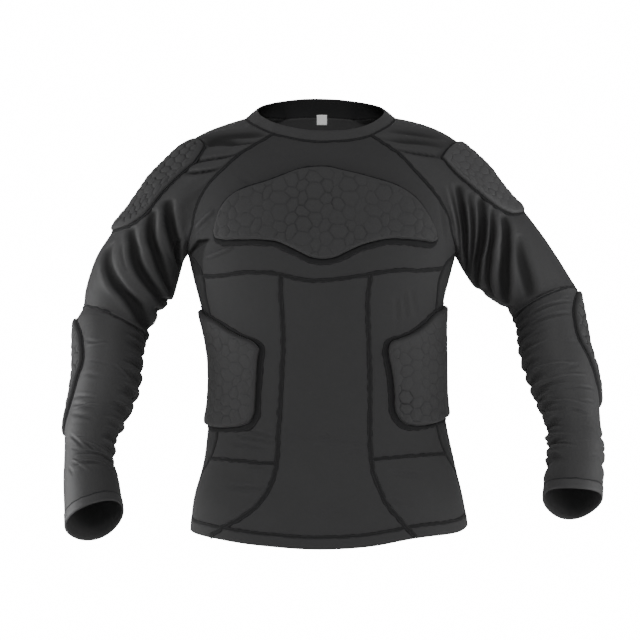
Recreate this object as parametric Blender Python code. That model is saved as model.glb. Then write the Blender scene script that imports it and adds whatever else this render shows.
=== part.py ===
"""Pull-on padded armour shirt, filled out as if worn and empty inside.

Every cut piece is a thin solid of its own, a seam gap away from its neighbours. Sizes are in
millimetres and become metres when a mesh is made. X runs to the wearer's left, the front faces -Y,
Z is up. The origin lies between the shoulders, level with the foot of the collar at the sides.
"""
import math

import bmesh
import bpy
import numpy as np
from mathutils.geometry import delaunay_2d_cdt

GARMENT = "padded_armour_shirt"
METRE = 0.001

# Cloth and seams
WALL = 1.8
SEAM_GAP = 0.4
ARMPIT_CLEAR = 1.1
SECTION_POWER = 2.4

# Grid counts that neighbouring pieces share along their common seams
RAGLAN_STEPS = 9
NECK_SIDE_STEPS = 6
UNDERARM_STEPS = 2
SIDE_STEPS = 5
CENTRE_STEPS = 8
STRIP_STEPS = 4
BACK_STEPS = 14
YOKE_ROWS = 2
WAIST_ROWS = 8
HIP_ROWS = 5
CAP_ROWS = 9
UPPER_ARM_ROWS = 7
FOREARM_ROWS = 10
COLLAR_ROWS = 2

# Body sections: height, centre x, half width, depth to the front, depth to the back
TORSO = (
    (30.0, -5.0, 186.0, 26.0, 66.0),
    (8.0, -5.0, 190.0, 46.0, 76.0),
    (-12.0, -5.0, 194.0, 64.0, 84.0),
    (-41.0, -5.0, 202.0, 88.0, 95.0),
    (-61.0, -5.0, 209.0, 98.0, 102.0),
    (-85.0, -5.0, 214.0, 105.0, 108.0),
    (-115.0, -4.5, 212.0, 111.0, 113.0),
    (-154.0, -4.5, 204.0, 117.0, 116.0),
    (-195.0, -4.5, 194.5, 118.0, 116.0),
    (-230.0, -5.0, 186.0, 115.0, 112.0),
    (-264.0, -4.8, 177.2, 110.0, 107.0),
    (-293.0, -2.1, 171.9, 106.0, 103.0),
    (-322.0, 1.0, 168.5, 102.5, 99.5),
    (-351.0, 3.3, 166.8, 100.5, 97.5),
    (-380.0, 3.8, 166.4, 100.0, 97.0),
    (-409.0, 3.7, 167.7, 102.0, 99.0),
    (-438.0, 3.4, 171.6, 105.0, 103.0),
    (-496.0, 5.8, 181.3, 112.0, 113.0),
    (-554.0, 5.0, 195.0, 117.0, 120.0),
    (-583.0, 5.8, 198.7, 118.0, 122.0),
    (-630.0, 6.5, 200.0, 118.5, 123.0),
)

# Seams around the body: degrees from the front (plus to the wearer's left), height
NECK_FRONT = ((-19.7, -30.0), (-12.7, -36.0), (-4.0, -41.0), (6.0, -41.0), (13.8, -38.0), (20.4, -32.0))
UNDER_CHEST = ((-92.0, -231.0), (-60.0, -231.0), (-47.6, -231.0), (-31.2, -226.0), (-18.4, -229.0),
               (-8.0, -237.0), (3.6, -237.0), (17.5, -231.0), (29.7, -224.0), (46.9, -223.0),
               (61.7, -219.0), (92.0, -217.0))
HIP = ((-92.0, -491.0), (-42.6, -491.0), (-23.0, -494.0), (18.0, -488.0), (36.8, -484.0), (92.0, -486.0))
HEM = ((-180.0, -606.0), (-120.0, -602.0), (-90.0, -596.0), (-75.0, -597.0), (-51.4, -601.0),
       (-29.6, -608.0), (-2.0, -613.0), (16.5, -609.0), (32.6, -600.0), (62.0, -594.5), (78.0, -590.0),
       (90.0, -589.0), (120.0, -600.0), (180.0, -606.0))

# Seams down the body: height, degrees from the front, for the wearer's right (minus) and left
RAGLAN_FRONT = {
    "right": ((-195.0, -80.0), (-173.0, -65.4), (-138.0, -55.4), (-104.0, -46.0), (-81.0, -38.6),
              (-58.0, -31.6), (-30.0, -19.7)),
    "left": ((-197.0, 80.0), (-182.0, 68.0), (-147.0, 56.1), (-111.0, 44.3), (-82.0, 35.8),
             (-58.0, 29.8), (-32.0, 20.4)),
}
RAGLAN_BACK = {
    "right": ((-195.0, -100.0), (-155.0, -119.0), (-120.0, -130.0), (-85.0, -139.0), (-50.0, -147.0),
              (-20.0, -156.0), (6.0, -164.0)),
    "left": ((-197.0, 100.0), (-155.0, 119.0), (-120.0, 130.0), (-85.0, 139.0), (-50.0, 147.0),
             (-20.0, 156.0), (5.0, 166.0)),
}
PRINCESS = {
    "right": ((-620.0, -70.0), (-597.0, -52.1), (-584.0, -44.7), (-575.0, -39.0), (-558.0, -31.3),
              (-539.0, -26.8), (-518.0, -24.3), (-491.0, -23.3), (-451.0, -22.8), (-371.0, -22.2),
              (-291.0, -19.1), (-200.0, -17.0)),
    "left": ((-620.0, 43.0), (-597.0, 35.0), (-585.0, 31.7), (-569.0, 28.0), (-550.0, 23.7),
             (-528.0, 21.2), (-504.0, 19.0), (-478.0, 18.8), (-425.0, 20.0), (-344.0, 20.2),
             (-226.0, 21.0), (-200.0, 21.0)),
}
SIDE_FRONT = ((-620.0, 84.0), (-560.0, 81.0), (-508.0, 74.0), (-492.0, 66.0), (-470.0, 61.0),
              (-440.0, 59.5), (-320.0, 63.0), (-264.0, 63.0), (-225.0, 61.0), (-208.0, 66.0),
              (-194.0, 80.0))
SIDE_BACK = ((-620.0, 118.0), (-440.0, 120.0), (-264.0, 120.0), (-225.0, 119.0), (-208.0, 114.0),
             (-194.0, 100.0))
NECK_BACK_HEIGHT = 8.0

# Foot of the collar across each shoulder: x, y, height, between the front and the back raglan seam
NECK_SIDE = {
    "right": ((-103.0, -42.0, -14.0), (-114.0, -2.0, -1.0), (-97.0, 42.0, 6.0)),
    "left": ((93.0, -42.0, -14.0), (101.0, -2.0, -0.5), (85.0, 42.0, 4.0)),
}

# Collar band: degrees around the neck from the front, how far its top lies inward and upward
COLLAR = ((0.0, 7.0, 16.0), (50.0, 9.0, 14.0), (90.0, 12.0, 11.5), (135.0, 9.0, 21.0), (180.0, 5.0, 26.5))
COLLAR_CENTRE = (-5.0, -4.0)

# Sleeve rings, shoulder to cuff: outer x and height, inner x and height, centre y, half depth
SLEEVE_RINGS = {
    "right": (
        (-309.7, -166.7, -206.0, -208.8, 1.0, 57.0),
        (-329.5, -197.1, -213.4, -236.3, 3.0, 57.0),
        (-340.5, -224.7, -222.1, -262.4, 4.0, 57.0),
        (-347.6, -250.8, -240.2, -282.7, 3.0, 53.0),
        (-350.7, -275.5, -257.9, -319.0, -2.0, 50.0),
        (-359.3, -295.8, -260.2, -329.0, -9.0, 49.0),
        (-359.4, -328.9, -262.2, -344.8, -20.0, 49.0),
        (-358.0, -360.3, -262.6, -370.4, -32.0, 48.0),
        (-359.9, -392.8, -266.4, -395.7, -46.0, 46.0),
        (-364.0, -420.8, -277.3, -425.1, -59.0, 43.0),
        (-368.0, -448.5, -290.9, -449.9, -73.0, 40.0),
        (-367.4, -471.9, -296.2, -474.7, -84.0, 38.0),
        (-366.4, -496.4, -297.0, -494.9, -97.0, 38.0),
        (-365.3, -523.2, -288.5, -516.2, -112.0, 40.0),
        (-358.3, -579.8, -277.6, -560.5, -146.0, 46.0),
    ),
    "left": (
        (295.9, -144.2, 200.2, -220.4, 1.0, 57.0),
        (316.4, -171.0, 216.3, -243.6, 3.0, 56.0),
        (338.3, -203.6, 241.0, -262.4, 4.0, 55.0),
        (355.6, -231.9, 264.2, -277.7, 3.0, 52.0),
        (365.3, -249.4, 274.0, -294.3, -1.0, 50.0),
        (368.6, -271.2, 277.5, -310.2, -9.0, 49.0),
        (373.0, -301.5, 278.7, -330.3, -20.0, 48.0),
        (377.2, -333.1, 281.1, -353.2, -32.0, 47.0),
        (384.2, -361.5, 288.5, -378.6, -44.0, 46.0),
        (388.3, -391.1, 297.3, -403.9, -56.0, 44.0),
        (388.7, -419.0, 305.8, -423.2, -69.0, 41.0),
        (389.1, -445.2, 312.9, -448.0, -82.0, 39.0),
        (391.4, -472.6, 312.8, -469.8, -96.0, 39.0),
        (389.6, -496.9, 308.5, -492.7, -109.0, 40.0),
        (382.6, -549.3, 300.3, -543.8, -140.0, 46.0),
    ),
}
ELBOW_RING = 4

# Where the sleeve columns sit on a ring: half the neck arc and half the underarm arc, in degrees
NECK_ARC = 28.0
UNDERARM_ARC = 12.0
SHOULDER_FALL = {"right": 0.29, "left": 0.16}
CAP_PULL = (1.25, 0.70)
CAP_LEAVE = (1.0, 0.1)

# Largest sleeve folds: degrees and reach at the start, the same at the end, half width, depth
FOLDS = {
    "right": ((100.0, 0.50, 152.0, 1.70, 13.0, 5.5), (66.0, 0.82, 152.0, 3.60, 13.0, 6.5),
              (46.0, 1.40, 134.0, 4.80, 13.0, 5.5), (-80.0, 0.55, -150.0, 2.20, 16.0, 4.5),
              (-62.0, 1.00, -138.0, 4.40, 16.0, 4.0)),
    "left": ((112.0, 0.38, 150.0, 1.40, 12.0, 5.5), (82.0, 0.62, 145.0, 2.70, 13.0, 6.5),
             (54.0, 0.98, 128.0, 4.30, 13.0, 5.5), (-80.0, 0.55, -150.0, 2.20, 16.0, 4.5),
             (-62.0, 1.00, -138.0, 4.40, 16.0, 4.0)),
}
FOLD_GIRTH = 58.0
CAP_LENGTH = 150.0
RING_LENGTH = 30.0

# Pads
PAD_SEAT = 1.0
PAD_GROOVE = 1.3
PAD_LIP = 1.2
PAD_CHAMFER = 1.6
OUTLINE_STEP = 11.0

# Body pads: distance around the body from the front centre, height
CHEST_PAD = ((10.0, -79.0), (-12.0, -79.0), (-32.0, -82.0), (-56.0, -91.0), (-80.0, -99.5),
             (-103.0, -106.0), (-124.0, -115.0), (-138.0, -127.0), (-147.0, -140.0), (-153.0, -157.0),
             (-156.0, -171.0), (-153.0, -179.0), (-144.0, -182.0), (-118.0, -182.5), (-84.0, -183.0),
             (-66.0, -185.0), (-50.0, -191.0), (-33.0, -199.5), (-17.0, -207.0), (2.0, -210.0),
             (20.0, -207.0), (36.0, -199.5), (55.0, -191.0), (75.0, -185.0), (95.0, -181.5),
             (122.0, -182.0), (146.0, -184.0), (161.0, -185.0), (168.0, -180.0), (166.0, -170.0),
             (160.0, -157.0), (149.0, -140.0), (134.0, -123.0), (118.0, -111.0), (99.0, -102.0),
             (75.0, -95.0), (49.0, -88.0), (25.0, -82.5))
RIB_PAD = {
    "right": ((-197.0, -283.0), (-157.0, -296.5), (-137.0, -308.0), (-119.0, -316.0), (-102.0, -323.0),
              (-94.0, -332.0), (-97.0, -348.0), (-100.0, -380.0), (-101.0, -404.0), (-104.0, -429.0),
              (-110.0, -439.0), (-122.0, -444.0), (-146.0, -447.0), (-183.0, -447.0), (-235.0, -441.0),
              (-272.0, -428.0), (-284.0, -404.0), (-285.0, -340.0), (-274.0, -300.0), (-250.0, -279.0),
              (-224.0, -276.0)),
    "left": ((200.0, -277.0), (173.0, -283.0), (148.0, -298.0), (127.0, -310.0), (105.0, -318.0),
             (91.0, -323.0), (85.0, -334.0), (86.0, -350.0), (90.0, -374.0), (92.0, -396.0), (95.0, -425.0),
             (106.0, -439.0), (130.0, -444.0), (154.0, -442.0), (190.0, -436.0), (240.0, -428.0),
             (272.0, -412.0), (284.0, -386.0), (283.0, -325.0), (268.0, -288.0), (240.0, -271.0)),
}
# Shoulder pads: distance down the middle line, distance to the front
SHOULDER_PAD = {
    "right": ((18.0, -12.0), (20.0, 2.0), (30.0, 13.0), (48.0, 23.0), (70.0, 35.0), (95.0, 47.0),
              (125.0, 54.0), (158.0, 44.0), (184.0, 28.0), (196.0, 12.0), (201.0, -6.0), (201.0, -18.0),
              (196.0, -36.0), (184.0, -52.0), (158.0, -68.0), (125.0, -78.0), (95.0, -71.0), (70.0, -59.0),
              (48.0, -47.0), (30.0, -37.0), (20.0, -26.0)),
    "left": ((42.0, -16.0), (43.0, 0.0), (47.0, 16.0), (55.0, 28.0), (72.0, 39.0), (98.0, 47.0),
             (130.0, 42.0), (156.0, 31.0), (171.0, 18.0), (179.0, 0.0), (181.0, -18.0), (179.0, -34.0),
             (171.0, -50.0), (156.0, -63.0), (130.0, -74.0), (98.0, -79.0), (72.0, -71.0), (55.0, -60.0),
             (47.0, -48.0), (43.0, -32.0)),
}
# Elbow pads: distance along from the upper end, half width
ELBOW_PAD = ((0.0, 20.0), (14.0, 36.0), (36.0, 51.0), (60.0, 55.0), (80.0, 54.0), (104.0, 45.0),
             (132.0, 36.0), (156.0, 28.0), (174.0, 11.0))
# Where they sit: reach of the upper end on the sleeve, degrees of the middle line, share of the length
SHOULDER_SEAT = {"right": (0.20, 18.0, 1.0), "left": (0.20, 26.0, 1.0)}
ELBOW_SEAT = {"right": (5.80, -22.0, 1.0), "left": (5.12, -20.0, 1.0)}
# Cells: pad height, cell width, flat border
CHEST_CELLS = (8.5, 18.5, 5.0)
RIB_CELLS = (8.0, 17.5, 5.0)
SHOULDER_CELLS = (7.5, 17.5, 5.0)
ELBOW_CELLS = (8.0, 17.5, 5.0)
SEAT_STEP = {"chest": 19.0, "rib": 12.0, "shoulder": 8.5, "elbow": 11.0}

# Blank label inside the back of the neck: middle x, width, foot height, top height, thickness
LABEL = (-4.4, 15.0, -3.0, 11.5, 1.0)
LABEL_CLEAR = 1.0

# Materials: colour, roughness
LOOKS = {
    "knit": ((0.038, 0.038, 0.041), 0.78),
    "sleeve_knit": ((0.042, 0.042, 0.046), 0.74),
    "side_knit": ((0.020, 0.020, 0.022), 0.82),
    "collar_rib": ((0.030, 0.030, 0.033), 0.80),
    "pad_cover": ((0.046, 0.046, 0.050), 0.66),
    "label_tape": ((0.78, 0.78, 0.77), 0.60),
}

SIDES = ("right", "left")
EDGES = ("foot", "top", "start", "end")
SIGN = {"right": -1.0, "left": 1.0}


def unit(vectors):
    """Scale vectors to length one."""
    length = np.linalg.norm(vectors, axis=-1, keepdims=True)
    return vectors / np.maximum(length, 1e-9)


class Track:
    """Smooth line through table rows, read by the rows' first column."""

    def __init__(self, rows):
        table = np.array(sorted(rows), dtype=float)
        self.knots = table[:, 0]
        self.values = table[:, 1:]
        step = np.diff(self.knots)[:, None]
        slope = np.diff(self.values, axis=0) / step
        middle = (slope[:-1] * step[1:] + slope[1:] * step[:-1]) / (step[1:] + step[:-1])
        self.slopes = np.vstack([slope[:1], middle, slope[-1:]])

    def __call__(self, where):
        spot = np.clip(np.asarray(where, dtype=float), self.knots[0], self.knots[-1])
        i = np.clip(np.searchsorted(self.knots, spot, side="right") - 1, 0, len(self.knots) - 2)
        width = (self.knots[i + 1] - self.knots[i])[..., None]
        t = (spot - self.knots[i])[..., None] / width
        start = (2 * t**3 - 3 * t**2 + 1) * self.values[i] + (t**3 - 2 * t**2 + t) * width * self.slopes[i]
        end = (3 * t**2 - 2 * t**3) * self.values[i + 1] + (t**3 - t**2) * width * self.slopes[i + 1]
        return start + end


def path_track(points):
    """Smooth line through points, read by its share of length from 0 to 1."""
    points = np.asarray(points, dtype=float)
    run = np.concatenate([[0.0], np.cumsum(np.linalg.norm(np.diff(points, axis=0), axis=1))])
    return Track(np.column_stack([run / run[-1], points]).tolist())


# Body surface

SECTIONS = Track(TORSO)


def body(turn, height):
    """Outer face of the body at a turn in degrees from the front and a height."""
    turn, height = np.broadcast_arrays(np.asarray(turn, float), np.asarray(height, float))
    centre, half_width, front, back = np.moveaxis(SECTIONS(height), -1, 0)
    side, ahead = np.sin(np.radians(turn)), np.cos(np.radians(turn))
    radius = (np.abs(side)**SECTION_POWER + np.abs(ahead)**SECTION_POWER)**(-1.0 / SECTION_POWER)
    depth = np.where(ahead > 0.0, front, back)
    return np.stack([centre + half_width * radius * side, -depth * radius * ahead, height], axis=-1)


def body_normal(turn, height):
    """Outward direction of the body surface."""
    around = body(np.add(turn, 0.5), height) - body(np.subtract(turn, 0.5), height)
    upward = body(turn, np.add(height, 1.0)) - body(turn, np.subtract(height, 1.0))
    return unit(np.cross(around, upward))


def turn_at_distance(distance, height):
    """Turn reached after a distance around the body from the front centre, at one height each."""
    turns = np.linspace(-180.0, 180.0, 361)
    found = []
    for far, level in zip(np.ravel(distance), np.ravel(height)):
        ring = body(turns, level)
        run = np.concatenate([[0.0], np.cumsum(np.linalg.norm(np.diff(ring, axis=0), axis=1))])
        found.append(np.interp(far + run[180], run, turns))
    return np.array(found).reshape(np.shape(distance))


class Level:
    """A seam that runs around the body: height by turn."""

    def __init__(self, rows):
        self.track = Track(rows)

    def height(self, turn):
        return self.track(turn)[..., 0]


class Upright:
    """A seam that runs up the body: turn by height."""

    def __init__(self, rows, flip=1.0):
        self.track = Track([(height, flip * turn) for height, turn in rows])

    def turn(self, height):
        return self.track(height)[..., 0]


def crossing(upright, level, guess):
    """Turn and height where an upright seam meets a level seam."""
    height = guess
    for _ in range(40):
        height = float(level.height(upright.turn(height)))
    return np.array([float(upright.turn(height)), height])


def up_line(upright, low, high, steps):
    """Nodes of an upright seam between two heights, even in length on the body."""
    heights = np.linspace(low, high, 121)
    points = body(upright.turn(heights), heights)
    run = np.concatenate([[0.0], np.cumsum(np.linalg.norm(np.diff(points, axis=0), axis=1))])
    nodes = np.interp(np.linspace(0.0, run[-1], steps + 1), run, heights)
    return np.column_stack([upright.turn(nodes), nodes])


def level_line(level, first, last, steps):
    """Nodes of a level seam between two turns."""
    turns = np.linspace(first, last, steps + 1)
    return np.column_stack([turns, level.height(turns)])


def join(*lines):
    """Lines set end to end, the shared nodes kept once."""
    return np.vstack([lines[0]] + [line[1:] for line in lines[1:]])


def fill(bottom, top, left, right):
    """Turn and height of every node of a panel from its four edges."""
    u = np.linspace(0.0, 1.0, len(bottom))[None, :, None]
    v = np.linspace(0.0, 1.0, len(left))[:, None, None]
    ruled = (1 - v) * bottom[None] + v * top[None] + (1 - u) * left[:, None] + u * right[:, None]
    corners = ((1 - u) * (1 - v) * bottom[0] + u * (1 - v) * bottom[-1]
               + (1 - u) * v * top[0] + u * v * top[-1])
    return ruled - corners


# Solids

def make_object(name, vertices, faces, look, collection):
    """One closed solid from points in millimetres."""
    mesh = bpy.data.meshes.new(name)
    mesh.from_pydata((np.asarray(vertices) * METRE).tolist(), [], faces)
    work = bmesh.new()
    work.from_mesh(mesh)
    bmesh.ops.triangulate(work, faces=work.faces[:], quad_method="SHORT_EDGE")
    bmesh.ops.recalc_face_normals(work, faces=work.faces[:])
    if work.calc_volume(signed=True) < 0.0:
        bmesh.ops.reverse_faces(work, faces=work.faces[:])
    work.to_mesh(mesh)
    work.free()
    mesh.materials.append(MATERIALS[look])
    item = bpy.data.objects.new(name, mesh)
    collection.objects.link(item)
    return item


def trim(points, closed, extra):
    """Draw the edges of a panel back by half the seam gap, and by more where a seam folds sharply."""
    back = {edge: 0.5 * SEAM_GAP + np.asarray(extra.get(edge, 0.0)) for edge in EDGES}
    back = {edge: np.atleast_1d(amount)[:, None] for edge, amount in back.items()}
    out = points.copy()
    out[0] += back["foot"] * unit(points[1] - points[0])
    out[-1] += back["top"] * unit(points[-2] - points[-1])
    if not closed:
        out[:, 0] += back["start"] * unit(points[:, 1] - points[:, 0])
        out[:, -1] += back["end"] * unit(points[:, -2] - points[:, -1])
    return out


def wall_solid(name, points, normals, look, collection, closed=False, extra=None):
    """Thin solid between a panel's outer nodes and the same nodes moved in by the wall."""
    outer = trim(points, closed, extra or {})
    inner = outer - WALL * normals
    rows, columns = outer.shape[:2]
    count = rows * columns
    spans = columns if closed else columns - 1
    faces = []

    def node(r, c, layer):
        return layer * count + r * columns + c % columns

    for r in range(rows - 1):
        for c in range(spans):
            faces.append((node(r, c, 0), node(r, c + 1, 0), node(r + 1, c + 1, 0), node(r + 1, c, 0)))
            faces.append((node(r, c, 1), node(r + 1, c, 1), node(r + 1, c + 1, 1), node(r, c + 1, 1)))
    for c in range(spans):
        faces.append((node(0, c, 0), node(0, c, 1), node(0, c + 1, 1), node(0, c + 1, 0)))
        last = rows - 1
        faces.append((node(last, c, 0), node(last, c + 1, 0), node(last, c + 1, 1), node(last, c, 1)))
    if not closed:
        end = columns - 1
        for r in range(rows - 1):
            faces.append((node(r, 0, 0), node(r + 1, 0, 0), node(r + 1, 0, 1), node(r, 0, 1)))
            faces.append((node(r, end, 0), node(r, end, 1), node(r + 1, end, 1), node(r + 1, end, 0)))
    vertices = np.vstack([outer.reshape(-1, 3), inner.reshape(-1, 3)])
    return make_object(name, vertices, faces, look, collection)


# Sleeve surface

def fold_spot(degrees, reach):
    """Place on the flattened sleeve in millimetres: around, along."""
    along = CAP_LENGTH * min(reach, 1.0) + RING_LENGTH * max(reach - 1.0, 0.0)
    return np.array([math.radians(degrees) * FOLD_GIRTH, along])


class Sleeve:
    """One sleeve: a cap that runs from the armhole loop to the first ring, then a tube of rings."""

    def __init__(self, side):
        self.side = side
        self.sign = SIGN[side]
        rings = np.array(SLEEVE_RINGS[side])
        index = np.arange(len(rings), dtype=float) + 1.0
        self.rings = Track(np.column_stack([index, rings]).tolist())
        self.last = float(index[-1])
        self.front = Upright(RAGLAN_FRONT[side])
        self.back = Upright(RAGLAN_BACK[side])
        self.front_low, self.front_high = RAGLAN_FRONT[side][0][0], RAGLAN_FRONT[side][-1][0]
        self.back_low, self.back_high = RAGLAN_BACK[side][0][0], RAGLAN_BACK[side][-1][0]
        self.front_nodes = up_line(self.front, self.front_low, self.front_high, 60)
        self.back_nodes = up_line(self.back, self.back_low, self.back_high, 60)
        front_corner = body(*self.front_nodes[-1])
        back_corner = body(*self.back_nodes[-1])
        self.neck = path_track([front_corner, *NECK_SIDE[side], back_corner])

    def columns(self):
        """Degrees of the sleeve columns, front corner of the neck first, going down the front."""
        front = np.linspace(NECK_ARC, 180.0 - UNDERARM_ARC, RAGLAN_STEPS + 1)
        under = np.linspace(180.0 - UNDERARM_ARC, 180.0 + UNDERARM_ARC, UNDERARM_STEPS + 1)
        back = np.linspace(180.0 + UNDERARM_ARC, 360.0 - NECK_ARC, RAGLAN_STEPS + 1)
        neck = np.linspace(360.0 - NECK_ARC, 360.0 + NECK_ARC, NECK_SIDE_STEPS + 1)
        return np.concatenate([front, under[1:], back[1:], neck[1:-1]])

    def seam_spot(self, degrees):
        """Turn and height on the body for a column on the raglan or underarm part of the loop."""
        share = np.clip((degrees - NECK_ARC) / (180.0 - UNDERARM_ARC - NECK_ARC), 0.0, 1.0)
        if degrees <= 180.0 - UNDERARM_ARC:
            line, at = self.front_nodes, 60.0 * (1.0 - share)
        elif degrees >= 180.0 + UNDERARM_ARC:
            share = (degrees - 180.0 - UNDERARM_ARC) / (180.0 - UNDERARM_ARC - NECK_ARC)
            line, at = self.back_nodes, 60.0 * share
        else:
            first, last = self.front_nodes[0], self.back_nodes[0]
            share = (degrees - 180.0 + UNDERARM_ARC) / (2.0 * UNDERARM_ARC)
            return first + share * (last - first)
        steps = np.arange(61)
        return np.array([np.interp(at, steps, line[:, 0]), np.interp(at, steps, line[:, 1])])

    def loop(self, degrees):
        """Armhole point and the outward direction there for one column."""
        degrees = degrees % 360.0
        if degrees < NECK_ARC or degrees > 360.0 - NECK_ARC:
            off = (degrees + 180.0) % 360.0 - 180.0
            share = (NECK_ARC - off) / (2.0 * NECK_ARC)
            point = self.neck(share)
            front, back = body_normal(*self.front_nodes[-1]), body_normal(*self.back_nodes[-1])
            top = unit(np.array([self.sign * SHOULDER_FALL[self.side], 0.0, 1.0]))
            ridge = 1.0 - abs(2.0 * share - 1.0)
            edge = front if share < 0.5 else back
            return point, unit(ridge * top + (1.0 - ridge) * edge)
        spot = self.seam_spot(degrees)
        return body(*spot), body_normal(*spot)

    def ring(self, degrees, reach):
        """Tube point, with the axis of the tube and the middle of its ring."""
        row = self.rings(reach)
        ahead, behind = self.rings(min(reach + 0.2, self.last)), self.rings(max(reach - 0.2, 1.0))

        def middle(r):
            return np.array([0.5 * (r[0] + r[2]), r[4], 0.5 * (r[1] + r[3])])

        axis = unit(middle(ahead) - middle(behind))
        across = np.array([0.5 * (row[0] - row[2]), 0.0, 0.5 * (row[1] - row[3])])
        deep = unit(np.cross(axis, across))
        deep = deep * (-math.copysign(1.0, deep[1])) * row[5]
        angle = math.radians(degrees)
        return middle(row) + across * math.cos(angle) + deep * math.sin(angle), axis, middle(row)

    def plain(self, degrees, reach):
        """Sleeve point before folds: reach 0 is the armhole, 1 the first ring, then ring by ring."""
        if reach >= 1.0:
            return self.ring(degrees, reach)[0]
        start, outward = self.loop(degrees)
        end, axis, _ = self.ring(degrees, 1.0)
        chord = np.linalg.norm(end - start)
        under = 0.5 - 0.5 * math.cos(math.radians(degrees))
        keep = CAP_LEAVE[0] + (CAP_LEAVE[1] - CAP_LEAVE[0]) * under**3
        toward = unit(end - start)
        leave = unit(toward - keep * np.dot(toward, outward) * outward)
        t = reach
        pull, arrive = CAP_PULL[0] * chord, CAP_PULL[1] * chord
        return ((2 * t**3 - 3 * t**2 + 1) * start + (t**3 - 2 * t**2 + t) * pull * leave
                + (3 * t**2 - 2 * t**3) * end + (t**3 - t**2) * arrive * axis)

    def fold_depth(self, degrees, reach):
        """How far the folds sink the cloth at one place."""
        off = (degrees + 180.0) % 360.0 - 180.0
        here = fold_spot(off, reach)
        depth = 0.0
        for turn_a, reach_a, turn_b, reach_b, width, deep in FOLDS[self.side]:
            a, b = fold_spot(turn_a, reach_a), fold_spot(turn_b, reach_b)
            share = np.clip(np.dot(here - a, b - a) / np.dot(b - a, b - a), 0.0, 1.0)
            gap = np.linalg.norm(here - a - share * (b - a))
            fade = math.sin(math.pi * min(max(share, 0.08), 0.92))**0.5
            depth += deep * fade * math.exp(-((gap / width)**2))
        return depth * min(1.0, reach / 0.35)

    def plain_normal(self, degrees, reach):
        """Outward direction of the sleeve before folds."""
        low, high = max(reach - 0.02, 0.0), min(reach + 0.02, self.last)
        around = self.plain(degrees + 2.0, reach) - self.plain(degrees - 2.0, reach)
        along = self.plain(degrees, high) - self.plain(degrees, low)
        return self.sign * unit(np.cross(around, along))

    def point(self, degrees, reach):
        """Outer face of the sleeve with its folds."""
        depth = self.fold_depth(degrees, reach)
        spot = self.plain(degrees, reach)
        if depth > 0.01:
            spot = spot - depth * self.plain_normal(degrees, reach)
        return spot

    def normal(self, degrees, reach):
        """Outward direction of the folded sleeve."""
        low, high = max(reach - 0.05, 0.0), min(reach + 0.05, self.last)
        around = self.point(degrees + 3.0, reach) - self.point(degrees - 3.0, reach)
        along = self.point(degrees, high) - self.point(degrees, low)
        return self.sign * unit(np.cross(around, along))

    def grid(self, reaches):
        """Nodes and outward directions of a stretch of sleeve."""
        columns = self.columns()
        points = np.array([[self.point(c, r) for c in columns] for r in reaches])
        normals = np.array([[self.normal(c, r) for c in columns] for r in reaches])
        return points, normals

    def clearance(self):
        """Extra room along the armhole loop, growing towards the sharp fold of the armpit."""
        under = 0.5 - 0.5 * np.cos(np.radians(self.columns()))
        return ARMPIT_CLEAR * under**2

    def seam_normals(self):
        """Shared outward directions along the armhole loop."""
        shared = []
        for c in self.columns():
            shared.append(unit(self.loop(c)[1] + self.normal(c, 0.0)))
        return np.array(shared)


# Pads

def smooth_outline(rows, step):
    """Closed outline through its rows, at even steps, turning to the left."""
    ring = np.array(rows, dtype=float)
    padded = np.vstack([ring[-3:], ring, ring[:4]])
    run = np.concatenate([[0.0], np.cumsum(np.linalg.norm(np.diff(padded, axis=0), axis=1))])
    track = Track(np.column_stack([run, padded]).tolist())
    first, last = run[3], run[3 + len(ring)]
    count = int(round((last - first) / step))
    points = track(np.linspace(first, last, count, endpoint=False))
    x, y = points[:, 0], points[:, 1]
    area = np.sum(x * np.roll(y, -1) - np.roll(x, -1) * y)
    return points if area > 0.0 else points[::-1]


def inset(points, amount):
    """Closed outline drawn in by an amount."""
    along = unit(np.roll(points, -1, axis=0) - np.roll(points, 1, axis=0))
    return points + amount * np.column_stack([-along[:, 1], along[:, 0]])


def inside(points, outline):
    """Which points lie inside a closed outline."""
    x, y = points[:, 0][:, None], points[:, 1][:, None]
    ax, ay = outline[:, 0][None], outline[:, 1][None]
    bx, by = np.roll(outline[:, 0], -1)[None], np.roll(outline[:, 1], -1)[None]
    spans = (ay > y) != (by > y)
    rise = np.where(np.abs(by - ay) < 1e-12, 1e-12, by - ay)
    hits = spans & (x < (bx - ax) * (y - ay) / rise + ax)
    return hits.sum(axis=1) % 2 == 1


def honeycomb(outline, width, border):
    """Middles and corners of the whole cells that fit inside the border."""
    radius = width / math.sqrt(3.0)
    room = inset(outline, border)
    low, high = outline.min(axis=0), outline.max(axis=0)
    middle = 0.5 * (low + high)
    reach = int(max(high - low) / width) + 2
    angles = np.radians(np.arange(6) * 60.0)
    corner = radius * np.column_stack([np.cos(angles), np.sin(angles)])
    cells = []
    for i in range(-reach, reach + 1):
        for j in range(-reach, reach + 1):
            centre = middle + np.array([1.5 * radius * i, width * (j + 0.5 * (i % 2))])
            if inside(corner + centre, room).all():
                cells.append((centre, corner + centre))
    return cells


def triangulate(points, edges, outline):
    """Triangles of a point set inside an outline, with given edges kept."""
    result = delaunay_2d_cdt([tuple(p) for p in points], edges, [], 0, 1e-5)
    vertices = np.array([tuple(v) for v in result[0]])
    faces = np.array([tuple(f) for f in result[2]])
    middles = vertices[faces].mean(axis=1)
    return vertices, faces[inside(middles, outline)], result[3]


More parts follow.
